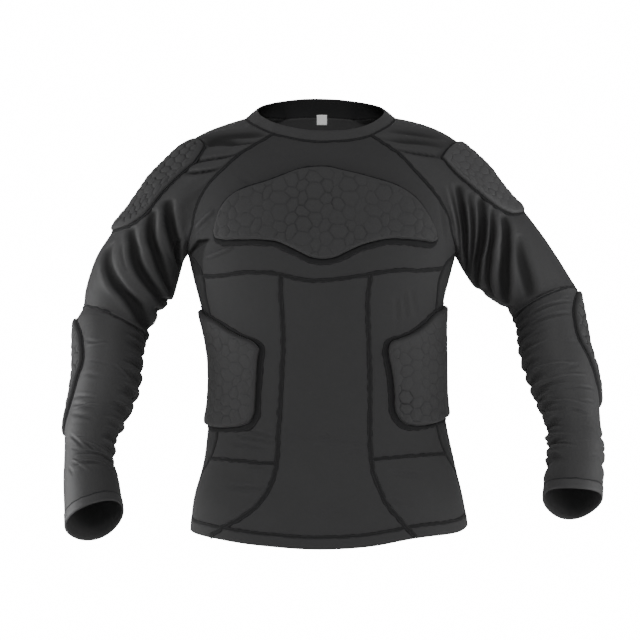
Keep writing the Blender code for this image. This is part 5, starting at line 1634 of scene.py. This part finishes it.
@dataclass
class Collar:
    """Low folded band that rises from the neck loop."""

    torso: Torso
    wall: float = 2.4
    rows: int = 16
    side_steps: int = 36
    fullness: float = 1.6
    ease_steps: int = 9
    band: float = 5.0
    band_crown: float = 0.8
    band_lean: float = 0.75

    def __post_init__(self) -> None:
        """Lay the neck loop and the collar's grid."""
        right, left = SLEEVES[Side.RIGHT], SLEEVES[Side.LEFT]
        share = np.linspace(0, 1, self.side_steps + 1)
        front, back = self.torso.neck_front, self.torso.neck_back
        self.loop = np.vstack([BODY.point(front[:, 0], front[:, 1]), left.neck(share)[1:],
                               BODY.point(back[:, 0], back[:, 1])[1:], right.neck(share[::-1])[1:-1]])
        centre = np.array([COLLAR_CENTRE[0], COLLAR_CENTRE[1], 0])
        self.outward = unit((self.loop - centre) * np.array([1, 1, 0]))
        ahead = np.abs(self.loop[:, 0] - centre[0]), -(self.loop[:, 1] - centre[1])
        lean = Track(COLLAR)(np.degrees(np.arctan2(*ahead)))
        top = self.loop - lean[:, :1] * self.outward + lean[:, 1:] * np.array([0, 0, 1])
        self.top = self.eased(top)

    def eased(self, line: Array) -> Array:
        """Closed line with its corners eased."""
        reach = 3 * self.ease_steps
        weight = np.exp(-0.5 * (np.arange(-reach, reach + 1) / self.ease_steps) ** 2)
        long = np.vstack([line[-reach:], line, line[:reach]])
        return np.column_stack([np.convolve(column, weight / weight.sum(), "valid") for column in long.T])

    def point(self, share: Array) -> Array:
        """Rows of the collar at shares of its height."""
        up = np.reshape(share, (-1, 1, 1))
        return (1 - up) * self.loop + up * self.top + self.fullness * 4 * (up - up**2) * self.outward

    def sheet(self) -> Sheet:
        """The collar's cloth."""
        points = self.point(np.linspace(0, 1, self.rows + 1))
        outward = np.broadcast_to(self.outward, points.shape)
        return Sheet(points, points, np.zeros(points.shape[:2]), outward, closed=True)

    def seams(self) -> list[Seam]:
        """Band over the seam at the collar's foot."""
        up = np.array([0, 0, self.band_lean])
        return [Seam(self.loop, unit(self.outward + up), self.band, True, self.band_crown)]


@dataclass
class Sleeve:
    """Upper and lower sleeve of one side, and their seams."""

    # Painted shade in the troughs and towards the body, painted light on the ridges and the outer side:
    # depths or reaches between which each effect grows, and how strong it is
    TROUGH_DEPTHS = (0.3, 4.2)
    FOREARM_CALM, FOREARM_REACH = 0.55, (4.9, 5.3)
    RIDGE_LIGHT, RIDGE_DEPTHS = 0.3, (0.1, 0.9)
    INNER_ARC, INNER_REACH = (-98.0, -30.0), (0.3, 1.2)
    UPPER_RELIEF, UPPER_REACH = 0.27, (-5.4, -4.6)
    OUTER_TURN, OUTER_ARC, OUTER_REACH = 150.0, (-70.0, -20.0), (5.5, 9.0)

    cloth: SleeveCloth
    side: Side
    wall: float = 1.8
    cuff_wall: float = 2.8
    raglan_steps: int = 54
    under_steps: int = 12
    neck_steps: int = 36
    cap_rows: int = 60
    arm_rows: int = 60
    forearm_rows: int = 210
    seam_steps: int = 160
    ring_steps: int = 180
    raglan_band: float = 6.2
    under_degrees: float = 184.0
    under_rows: tuple[int, int] = (60, 240)
    under_ends: tuple[float, float] = (0.05, 0.02)
    under_band: tuple[float, float] = (2.6, 0.45)
    elbow_band: tuple[float, float] = (4.0, 0.7)
    cuff_band: tuple[float, float] = (2.4, 0.3)

    def columns(self) -> Array:
        """Degrees of the grid's columns, from the front of the neck round the arm."""
        stops = NECK_ARC, 180 - UNDERARM_ARC, 180 + UNDERARM_ARC, 360 - NECK_ARC, 360 + NECK_ARC
        steps = self.raglan_steps, self.under_steps, self.raglan_steps, self.neck_steps
        return np.concatenate([np.linspace(*arc, endpoint=False) for arc in zip(stops, stops[1:], steps)])

    def sheet(self, reaches: Array, lining_step: int) -> Sheet:
        """Creased cloth between two reaches."""
        degrees, reach = np.meshgrid(self.columns(), reaches)
        points, outward, depth = self.cloth.surface(degrees, reach)
        # Painted shade in the troughs, weaker on the forearm, and painted light on the ridges
        calm = 1 - self.FOREARM_CALM * ease(reach, *self.FOREARM_REACH)
        shade = ease(depth, *self.TROUGH_DEPTHS) * calm - self.RIDGE_LIGHT * ease(-depth, *self.RIDGE_DEPTHS)
        # Painted shade on the side that faces the body, weaker on the upper arm
        inner = -np.abs((degrees + 360) % 360 - 180)
        inner = ease(inner, *self.INNER_ARC) * ease(reach, *self.INNER_REACH)
        dark = INNER_SHADE[self.side] - self.UPPER_RELIEF * ease(-reach, *self.UPPER_REACH)
        shade = 1 - (1 - shade) * (1 - inner * dark)
        # Painted light on the outer side of the forearm
        outer = -np.abs((degrees + self.OUTER_TURN) % 360 - 180)
        outer = ease(outer, *self.OUTER_ARC) * ease(reach, *self.OUTER_REACH)
        shade = shade - OUTER_LIGHT[self.side] * outer
        return Sheet(points, self.cloth.form.plain(degrees, reach), shade, outward, True, lining_step)

    def parts(self) -> dict[str, tuple[Sheet, Array]]:
        """Upper and lower sleeve: cloth and thickness by row."""
        elbow = 1 + ELBOW_RING
        cap = np.linspace(0, 1, self.cap_rows + 1)
        upper = np.concatenate([cap, np.linspace(1, elbow, self.arm_rows + 1)[1:]])
        lower = np.linspace(elbow, self.cloth.form.last, self.forearm_rows + 1)
        turned = ease(lower, self.cloth.CUFF_REACH, self.cloth.CUFF_REACH + self.cloth.CUFF_STEP)
        thick = self.wall + (self.cuff_wall - self.wall) * turned
        name = self.side.value
        return {f"sleeve_upper_{name}": (self.sheet(upper, 1), np.full(len(upper), self.wall)),
                f"sleeve_lower_{name}": (self.sheet(lower, 2), thick)}

    def ring_seam(self, reach: float, width: float, crown: float) -> Seam:
        """Band around the sleeve."""
        degrees = np.linspace(0, 360, self.ring_steps, endpoint=False)
        points, outward, _ = self.cloth.surface(degrees, np.full(self.ring_steps, reach))
        return Seam(points, outward, width, True, crown, (0,))

    def seams(self) -> list[Seam]:
        """Raglan, underarm, elbow and cuff bands of the sleeve."""
        form = self.cloth.form
        made = []
        for first, last in ((NECK_ARC, 180), (180, 360 - NECK_ARC)):
            degrees = np.linspace(first, last, self.seam_steps)
            points, outward = (np.array(rows) for rows in zip(*map(form.armhole, degrees)))
            outward = unit(outward + form.normal(degrees, np.zeros(self.seam_steps)))
            made.append(Seam(points, outward, self.raglan_band))
        start, short = self.under_ends
        cap, arm = self.under_rows
        reach = np.concatenate([np.linspace(start, 1, cap), np.linspace(1, form.last - short, arm)[1:]])
        points, outward, _ = self.cloth.surface(np.full(len(reach), self.under_degrees), reach)
        width, crown = self.under_band
        made.append(Seam(points, outward, width, False, crown, ()))
        made.append(self.ring_seam(1 + ELBOW_RING, *self.elbow_band))
        made.append(self.ring_seam(self.cloth.CUFF_REACH, *self.cuff_band))
        return made


@dataclass
class Pad:
    """Foam pad with raised honeycomb cells under a bonded cover, and the band sewn around it.

    The dark band is wide on the edges that face band_side and narrow on the others; its extra width is partly
    painted shade below the pad's edge.
    """

    BAND_TURN = (0.05, 0.75)
    BAND_BLUR = 4
    EDGE_OVER = 0.6
    CELL_SWELL, CELL_STRENGTH, CELL_TILT = 0.12, (0.2, 1.2), 0.014
    INNER_EDGE = (0.85, 1.5)
    CELL_FOOT = 0.4
    GROOVE_SHADE = 1.4
    RING_ROOM, CELL_ROOM, UNDER_ROOM = 0.8, 1.05, 0.4
    WANDER_SEED, WANDER_WAVES, WANDER_LENGTHS = 500, 4, (30, 58)
    EVEN_ROUNDS = 4
    SIDE_NODES, CORE = 6, 0.3
    BAND_RISE, BAND_CROWN, BAND_STITCH = 4.0, 0.8, -0.55

    node: str
    patch: BodyPatch | SleevePatch
    height: float
    cell: float
    seed: int
    band_side: Place
    band_widths: tuple[float, float]
    groove: float = 0.42
    groove_width: float = 1.0
    rim: float = 3.2
    lip: float = 0.8
    dome: float = 0.35
    wander: float = 2.6
    seat: float = 0.35
    fill: float = 0.85
    tuck: float = 0.3
    bold_spot: Place = (0.0, 0.0)
    bold_reach: float = 30.0
    bold: float = 0.0
    # Painted light: how much lighter the pad's colour is
    painted_light: float = 0.0
    under_step: float = 8.0
    rim_steps: tuple[float, ...] = (0.08, 0.22, 0.4, 0.6, 0.8, 1.0, 1.25, 1.6)
    ring_steps: tuple[float, ...] = (0.0, 0.6, 1.4, 3.2)

    def __post_init__(self) -> None:
        """Work out the band's width around the pad and the edge of the raised part."""
        outline = self.patch.outline
        along = unit(step_along(outline, True))
        facing = along[:, 1] * self.band_side[0] - along[:, 0] * self.band_side[1]
        narrow, wide = self.band_widths
        width = narrow + (wide - narrow) * ease(facing, *self.BAND_TURN)
        blur = self.BAND_BLUR
        kernel = np.ones(2 * blur + 1) / (2 * blur + 1)
        self.band = np.convolve(np.concatenate([width[-blur:], width, width[:blur]]), kernel, "valid")
        self.edge = inset(outline, self.tuck * self.band - self.EDGE_OVER)

    def wandered(self, flat: Array) -> Array:
        """How far the cells stray from an even honeycomb."""
        rng = np.random.default_rng(self.seed + self.WANDER_SEED)
        shift = np.zeros_like(flat)
        for _ in range(self.WANDER_WAVES):
            angle, wave = rng.uniform(0, 2 * math.pi), rng.uniform(*self.WANDER_LENGTHS)
            phase = rng.uniform(0, 2 * math.pi, 2)
            along = (flat[:, 0] * math.cos(angle) + flat[:, 1] * math.sin(angle)) * 2 * math.pi / wave
            shift += 0.5 * self.wander * np.column_stack([np.sin(along + phase[0]), np.sin(along + phase[1])])
        return shift

    def lattice(self) -> tuple[Array, Array]:
        """Middles of the honeycomb cells, and the cells' corner directions."""
        radius = self.cell / math.sqrt(3)
        low, high = self.edge.min(axis=0), self.edge.max(axis=0)
        reach = int(max(high - low) / self.cell) + 2
        steps = [(i, j) for i in range(-reach, reach + 1) for j in range(-reach, reach + 1)]
        middles = np.array([(1.5 * radius * i, self.cell * (j + 0.5 * (i % 2))) for i, j in steps])
        middles = middles + 0.5 * (low + high)
        signed = outline_distance(middles, self.edge) * np.where(inside(middles, self.edge), -1, 1)
        angles = np.radians(np.arange(6) * 60)
        return middles[signed < self.cell], radius * np.column_stack([np.cos(angles), np.sin(angles)])

    def cell_points(self, middles: Array, corners: Array) -> Array:
        """Points of every cell, on rings that follow its edges."""
        apothem = 0.5 * self.cell
        share = np.linspace(0, 1, self.SIDE_NODES, endpoint=False)[:, None]
        ring = np.vstack([a + share * (b - a) for a, b in zip(corners, np.roll(corners, -1, axis=0))])
        rings = [ring * (1 - step / apothem) for step in self.ring_steps]
        rings += [ring[::2] * self.CORE, np.zeros((1, 2))]
        flat = (middles[:, None, :] + np.vstack(rings)[None]).reshape(-1, 2)
        flat = np.unique(np.round(flat, 3), axis=0)
        return flat + self.wandered(flat)

    def cell_edges(self, flat: Array, middles: Array) -> tuple[Array, Array, Array]:
        """Distance to the nearest cell edge, the number of the cell and the place in it."""
        even = flat
        for _ in range(self.EVEN_ROUNDS):
            even = flat - self.wandered(even)
        near = np.full(len(flat), FAR)
        number = np.zeros(len(flat), dtype=int)
        for k, middle in enumerate(middles):
            far = np.sum((even - middle) ** 2, axis=1)
            closer = far < near
            near[closer], number[closer] = far[closer], k
        offset = even - middles[number]
        angles = np.radians(30 + np.arange(6) * 60)
        reach = offset @ np.array([np.cos(angles), np.sin(angles)])
        return np.maximum(0.5 * self.cell - reach.max(axis=1), 0), number, offset

    def levels(self, flat: Array, depth: Array, middles: Array) -> tuple[Array, Array]:
        """Height of points above the cloth, and their painted shade: darker deep in a groove, less the pad's
        painted light.
        """
        edge, number, offset = self.cell_edges(flat, middles)
        rng = np.random.default_rng(self.seed)
        swell = rng.uniform(-self.CELL_SWELL, self.CELL_SWELL, len(middles))[number]
        strength = rng.uniform(*self.CELL_STRENGTH, len(middles))[number]
        tilt = rng.uniform(-self.CELL_TILT, self.CELL_TILT, (len(middles), 2))[number]
        rise = np.clip(depth / self.rim, 0, 1)
        rim = self.seat + (self.height - self.lip - self.seat) * np.sqrt(1 - (1 - rise) ** 2)
        inner = ease(depth, *(share * self.rim for share in self.INNER_EDGE))
        far = np.linalg.norm(flat - np.array(self.bold_spot), axis=1)
        clear = 1 + self.bold * np.exp(-((far / self.bold_reach) ** 2))
        groove = self.groove * clear * strength * np.exp(-((edge / self.groove_width) ** 2)) * inner
        dome = self.dome * clear * ease(edge, 0, 0.5 * self.cell)
        lean = np.sum(offset * tilt, axis=1)
        top = rim + inner * (self.lip - self.CELL_FOOT + dome + swell + lean) - groove
        # Painted shade in the grooves, less the pad's painted light
        return top, np.clip(groove / self.GROOVE_SHADE, 0, 1) - self.painted_light

    def triangles(self, within: Array) -> tuple[Array, Array]:
        """Flat places and triangles over the raised part: its outline first, then the points within."""
        count = len(self.edge)
        edges = [(i, (i + 1) % count) for i in range(count)]
        result = delaunay_2d_cdt([tuple(p) for p in np.vstack([self.edge, within])], edges, [], 0, 1e-5)
        flat = np.array([tuple(v) for v in result[0]])
        faces = np.array([tuple(f) for f in result[2]])
        return flat, faces[inside(flat[faces].mean(axis=1), self.edge)]

    def kept(self, points: Array, margin: float) -> Array:
        """Points inside the raised part's edge, further from it than a margin."""
        return points[inside(points, self.edge) & (outline_distance(points, self.edge) > margin)]

    def top_points(self, middles: Array, corners: Array) -> Array:
        """Flat places on the rounded rim and on the cells."""
        rings = [self.kept(inset(self.edge, step * self.rim), self.RING_ROOM * step * self.rim)
                 for step in self.rim_steps]
        cells = self.kept(self.cell_points(middles, corners), self.CELL_ROOM * self.rim)
        return np.vstack(rings + [cells])

    def under_points(self) -> Array:
        """Flat places on the underside, on an even grid."""
        low, high = self.edge.min(axis=0), self.edge.max(axis=0)
        u, v = np.meshgrid(*(np.arange(a, b, self.under_step) for a, b in zip(low, high)))
        return self.kept(np.column_stack([u.ravel(), v.ravel()]), self.UNDER_ROOM * self.under_step)

    def build(self, material: Material) -> Piece:
        """Make the pad: cells on top, a plain underside, one closed skin."""
        middles, corners = self.lattice()
        flat, faces = self.triangles(self.top_points(middles, corners))
        under, under_faces = self.triangles(self.under_points())
        count = len(self.edge)
        level, shade = self.levels(flat, outline_distance(flat, self.edge), middles)
        level[:count] = self.seat
        top = self.patch.place(flat, level)
        below = self.patch.place(under, np.full(len(under), self.seat))[count:]
        a, b, c = np.moveaxis(top[faces], 1, 0)
        facing = np.sum(np.cross(b - a, c - a) * (self.patch.place(flat, level + 1) - top)[faces[:, 0]])
        turn = 1 if facing > 0 else -1
        under_faces = np.where(under_faces < count, under_faces, under_faces - count + len(flat))
        both = np.vstack([faces[:, ::turn], under_faces[:, ::-turn]])
        used, both = np.unique(both, return_inverse=True)
        both = both.reshape(-1, 3)
        spots = np.vstack([flat, under[count:]])[used] * METRE
        shades = np.concatenate([shade, np.zeros(len(below))])[used]
        return make_piece(f"{self.node}_cover", np.vstack([top, below])[used], both.tolist(), (material,),
                          spots[both].reshape(-1, 2), shades)

    def seam(self) -> Seam:
        """Band around the pad, tucked under its edge."""
        path = inset(self.patch.outline, (self.tuck - 0.5) * self.band)
        points = self.patch.place(path, np.zeros(len(path)))
        outward = unit(self.patch.place(path, np.full(len(path), self.BAND_RISE)) - points)
        return Seam(points, outward, self.band, True, self.BAND_CROWN, (self.BAND_STITCH,))


@dataclass
class SeamWork:
    """Bands and stitches sewn over a set of seams."""

    name: str
    seams: Sequence[Seam]
    step: float = 2.4
    stitch: float = 2.5
    thread: float = 0.42
    waver: float = 0.45
    swell: float = 0.045
    waves: int = 6
    around: int = 7
    stitch_share: float = 0.42
    stitch_rise: float = 0.38
    stitch_root: float = 0.2

    @staticmethod
    def even(seam: Seam, step: float) -> tuple[Array, Array, Array]:
        """Points, outward directions and widths at even steps along a seam."""
        width = np.broadcast_to(np.asarray(seam.width, float), (len(seam.points),))
        table = np.column_stack([seam.points, seam.outward, width])
        if seam.closed:
            table = np.vstack([table, table[:1]])
        run = run_length(table[:, :3])
        count = max(int(round(run[-1] / step)), 4)
        at = np.linspace(0, run[-1], count, endpoint=not seam.closed)
        rows = np.column_stack([np.interp(at, run, column) for column in table.T])
        return rows[:, :3], unit(rows[:, 3:6]), rows[:, 6]

    @staticmethod
    def frames(points: Array, outward: Array, closed: bool) -> tuple[Array, Array, Array]:
        """Along, across and outward directions of a line on cloth."""
        along = unit(step_along(points, closed))
        across = unit(np.cross(outward, along))
        return along, across, unit(np.cross(along, across))

    def worked(self, points: Array, across: Array, width: Array) -> tuple[Array, Array]:
        """Line and width of a band, a little uneven as sewn by hand."""
        share = np.arange(len(points)) / len(points) * 2 * math.pi
        rng = np.random.default_rng(len(points))
        sway, swell = np.zeros(len(points)), np.ones(len(points))
        for _ in range(self.waves):
            waves = rng.integers(3, max(5, len(points) // 5))
            phase = rng.uniform(0, 2 * math.pi, 2)
            sway += self.waver * 0.4 * np.sin(waves * share + phase[0])
            swell += self.swell * np.sin(waves * share + phase[1])
        return points + sway[:, None] * across, width * swell

    def bands(self, material: Material) -> Piece:
        """Rounded bands over every seam."""
        around = self.around
        spread = np.linspace(-1, 1, around)
        turned = [0, 3, 2, 1]
        vertices, faces, corners, start = [], [], [], 0
        for seam in self.seams:
            points, outward, width = self.even(seam, self.step)
            _, across, up = self.frames(points, outward, seam.closed)
            points, width = self.worked(points, across, width)
            rows = (points[:, None] + 0.5 * width[:, None, None] * spread[None, :, None] * across[:, None]
                    + seam.lift(spread)[None, :, None] * up[:, None])
            count = len(points)
            places = np.meshgrid(np.arange(around + 1) * METRE, np.arange(count + 1) * self.step * METRE)
            quads, spots = grid_quads(rows, True, np.stack(places, axis=-1), start, seam.closed)
            faces += quads[:, turned].tolist()
            corners.append(spots[:, turned].reshape(-1, 2))
            if not seam.closed:
                last = start + around * (count - 1)
                faces += [tuple(range(start, start + around)), tuple(range(last + around - 1, last - 1, -1))]
                corners.append(np.zeros((2 * around, 2)))
            vertices.append(rows.reshape(-1, 3))
            start += around * count
        return make_piece(self.name, np.vstack(vertices), faces, (material,), np.concatenate(corners))

    def stitches(self, material: Material) -> Piece:
        """Thread showing in short rounded stitches along the bands."""
        vertices, faces, start = [], [], 0
        for seam in self.seams:
            points, outward, width = self.even(seam, self.stitch)
            along, across, up = self.frames(points, outward, seam.closed)
            for row in seam.rows:
                middle = points + 0.5 * row * width[:, None] * across + seam.lift(row) * up
                end, side = self.stitch_share * self.stitch * along, self.thread * across
                rise, root = self.stitch_rise * up, self.stitch_root * up
                block = np.stack([middle - end, middle - side, middle + end, middle + side, middle + rise,
                                  middle - root], axis=1)
                base = start + 6 * np.arange(len(points))[:, None]
                for a, b in ((0, 1), (1, 2), (2, 3), (3, 0)):
                    faces.append(base + np.array([a, b, 4]))
                    faces.append(base + np.array([b, a, 5]))
                vertices.append(block.reshape(-1, 3))
                start += 6 * len(points)
        faces_all = np.vstack(faces)
        return make_piece(f"{self.name}_stitches", np.vstack(vertices), faces_all.tolist(), (material,),
                          np.zeros((3 * len(faces_all), 2)))


@dataclass
class NeckLabel:
    """Small blank tape hanging inside the back of the neck."""

    collar: Collar
    centre: float = -4.4
    width: float = 15.0
    foot: float = -3.0
    head: float = 11.5
    thick: float = 0.6
    clear: float = 3.1
    bow: float = 0.5
    steps: int = 10

    def sheet(self) -> Sheet:
        """The label's cloth, facing the front of the neck."""
        back = self.collar.loop[:, 1].argmax()
        loop, top = self.collar.loop[back], self.collar.top[back]
        foot_y = float(BODY.point(180, self.foot)[1])
        share = (self.head - loop[2]) / (top[2] - loop[2])
        head_y = loop[1] + share * (top[1] - loop[1])
        u, v = np.meshgrid(np.linspace(-0.5, 0.5, self.steps), np.linspace(0, 1, self.steps))
        y = foot_y + v * (head_y - foot_y) - self.clear - self.bow * (1 - v) * (4 * u**2)
        points = np.stack([self.centre + u * self.width, y, self.foot + v * (self.head - self.foot)], axis=-1)
        outward = np.broadcast_to(np.array([0, -1, 0]), points.shape)
        return Sheet(points, points, np.zeros(points.shape[:2]), outward)


@dataclass
class Studio:
    """Camera, soft lights and the pale floor."""

    # Name, place, size and power of each light
    LIGHTS = (
        ("side_left", (-1.15, -0.1, -0.42), 0.9, 10.6), ("side_right", (1.15, -0.28, -0.42), 0.9, 7.4),
        ("front", (0.0, -3.2, 1.6), 1.6, 50.0), ("top", (0.0, 0.1, 1.9), 1.4, 7.0),
        ("rear", (0.0, 3.2, 1.3), 1.6, 85.0),
    )
    UNSEEN_IN_GLOSS = "rear"

    lens: float = 116.38
    sensor: float = 36.0
    eye: Spot = (-0.00725, -3.0, -0.2929)
    aim: Spot = (0.0, 0.0, -0.3)
    backdrop: float = 16.0
    glow: float = 0.07
    floor_height: float = -1.0
    floor_radius: float = 1.5
    floor_thick: float = 0.02
    floor_sides: int = 96

    def camera(self) -> None:
        """Camera at the photograph's angle."""
        data = bpy.data.cameras.new("camera")
        data.lens = self.lens
        data.sensor_width = self.sensor
        item = into_scene("camera", data)
        item.location = self.eye
        item.rotation_euler = (math.pi / 2, 0, 0)
        bpy.context.scene.camera = item

    def lights(self) -> None:
        """Square softboxes around the shirt."""
        for name, place, size, power in self.LIGHTS:
            data = bpy.data.lights.new(name, "AREA")
            data.shape = "SQUARE"
            data.size = size
            data.energy = power
            item = into_scene(name, data)
            item.location = place
            direction = Vector(self.aim) - Vector(place)
            item.rotation_euler = direction.to_track_quat("-Z", "Y").to_euler()
            item.visible_glossy = name != self.UNSEEN_IN_GLOSS

    def world(self) -> None:
        """White surroundings for the camera, a dimmer even glow for the cloth."""
        world = bpy.data.worlds.new("studio")
        world.use_nodes = True
        bpy.context.scene.world = world
        graph = Graph(world.node_tree)
        glow = world.node_tree.nodes["Background"]
        glow.inputs["Color"].default_value = (1, 1, 1, 1)
        seen = graph.node("ShaderNodeLightPath").outputs["Is Camera Ray"]
        graph.feed(glow.inputs["Strength"], graph.plus(graph.times(seen, self.backdrop), self.glow))

    def floor(self) -> Piece:
        """Round pale floor below the shirt."""
        count = self.floor_sides
        angles = np.linspace(0, 2 * math.pi, count, endpoint=False)
        ring = np.column_stack([np.cos(angles), np.sin(angles), np.zeros(count)]) * self.floor_radius
        points = np.vstack([ring, ring]) + np.array([0, 0, self.floor_height])
        points[count:, 2] -= self.floor_thick
        faces = [tuple(range(count)), tuple(range(2 * count - 1, count - 1, -1))]
        faces += [(i, i + count, (i + 1) % count + count, (i + 1) % count) for i in range(count)]
        mesh = bpy.data.meshes.new("floor")
        mesh.from_pydata(points.tolist(), [], faces)
        material, graph, shader = new_material("pale_floor")
        place = graph.node("ShaderNodeTexCoord").outputs["Object"]
        cloudy = graph.plus(graph.times(graph.noise(place, 3, 3), 0.05), 0.80)
        graph.settle(shader, {"Base Color": graph.scaled((1, 1, 1), cloudy), "Roughness": 0.8})
        mesh.materials.append(material)
        return into_scene("floor", mesh)


def pad_set(body: BodyCloth, sleeves: dict[Side, SleeveCloth]) -> list[Pad]:
    """Every pad of the shirt, with its place and its cells."""
    made = [Pad("chest_pad", body.patches[0], height=8.5, cell=18.5, seed=11, band_side=(0.0, -1.0),
                band_widths=(3.4, 10.5), bold_spot=(-14.0, -138.0), bold_reach=58.0, bold=0.7)]
    for number, side in enumerate(Side):
        name, sign = side.value, side.sign
        shoulder, elbow = sleeves[side].patches
        made.append(Pad(f"rib_pad_{name}", body.patches[1 + number], height=8.0, cell=17.5, seed=21 + number,
                        band_side=(-sign, -0.35), band_widths=(5.6, 10.5), bold_spot=(104.0, -424.0),
                        bold_reach=36.0, bold=1.9))
        # The shoulder pads: the left one is lighter with painted light
        made.append(Pad(f"shoulder_pad_{name}", shoulder, height=6.0, cell=15.0, seed=31 + number,
                        band_side=(0.3, 1.0), band_widths=(3.6, 5.0), groove=1.25, rim=5.4, dome=0.6,
                        wander=1.6, painted_light=SHOULDER_PAD_LIGHT[side]))
        made.append(Pad(f"elbow_pad_{name}", elbow, height=6.5, cell=17.5, seed=41 + number,
                        band_side=(0.3, 1.0), band_widths=(2.8, 3.8), groove=1.5, dome=0.9, rim=3.0))
    return made


def sew(name: str, seams: Sequence[Seam], rack: FinishRack) -> list[Piece]:
    """Make the bands and stitches of a set of seams and ride them on the shirt."""
    work = SeamWork(name, seams)
    made = [work.bands(rack.take(SEAM_BAND)), work.stitches(rack.take(THREAD))]
    for piece in made:
        dress(piece, None)
    return made


SLOT_FINISH = {Slot.KNIT: KNIT, Slot.SIDE_KNIT: SIDE_KNIT, Slot.SLEEVE_KNIT: SLEEVE_KNIT,
               Slot.COLLAR_RIB: COLLAR_RIB, Slot.PAD_COVER: PAD_COVER, Slot.LABEL_TAPE: LABEL_TAPE}


def lay_cloth(name: str, sheet: Sheet, wall: Array | float, slot: Slot, rack: FinishRack,
              lining: Finish = INSIDE) -> None:
    """Args:
        name: name of the solid it stands for.
        sheet: its cloth.
        wall: its thickness.
        slot: its material slot.
        rack: the finishes.
        lining: finish of its inner face.
    """
    piece = shell(f"{name}_cloth", sheet, wall, rack.take(SLOT_FINISH[slot]), rack.take(lining))
    dress(piece, name)
    declare_cloth(piece, sheet)


def main() -> None:
    """Build the shirt piece by piece, then the studio."""
    logging.basicConfig(level=logging.INFO, format="%(message)s")
    studio = Studio()
    studio.camera()
    rack = FinishRack()
    body = BodyCloth()
    sleeve_cloth = {side: SleeveCloth(side) for side in Side}
    torso = Torso(body)
    collar = Collar(torso)
    bands = torso.seams()
    sewn = {name: sew(name, seams, rack) for name, seams in bands.items()}
    for name, (sheet, wall, slot) in torso.panels().items():
        lay_cloth(name, sheet, wall, slot, rack)
    neck = sew("seams_neck", collar.seams(), rack)
    lay_cloth("collar", collar.sheet(), collar.wall, Slot.COLLAR_RIB, rack, COLLAR_INSIDE)
    for side in Side:
        sleeve = Sleeve(sleeve_cloth[side], side)
        bands_made = sew(f"seams_sleeve_{side.value}", sleeve.seams(), rack)
        for name, (sheet, wall) in sleeve.parts().items():
            lay_cloth(name, sheet, wall, Slot.SLEEVE_KNIT, rack,
                      INSIDE if "upper" in name else SLEEVE_INSIDE)
    pads = pad_set(body, sleeve_cloth)
    for pad in pads:
        piece = pad.build(rack.take(PAD_COVER))
        dress(piece, pad.node)
    sew("seams_pads", [pad.seam() for pad in pads], rack)
    label = NeckLabel(collar)
    lay_cloth("neck_label", label.sheet(), label.thick, Slot.LABEL_TAPE, rack, lining=LABEL_TAPE)
    studio.lights()
    studio.world()
    studio.floor()


if __name__ == "__main__":
    main()
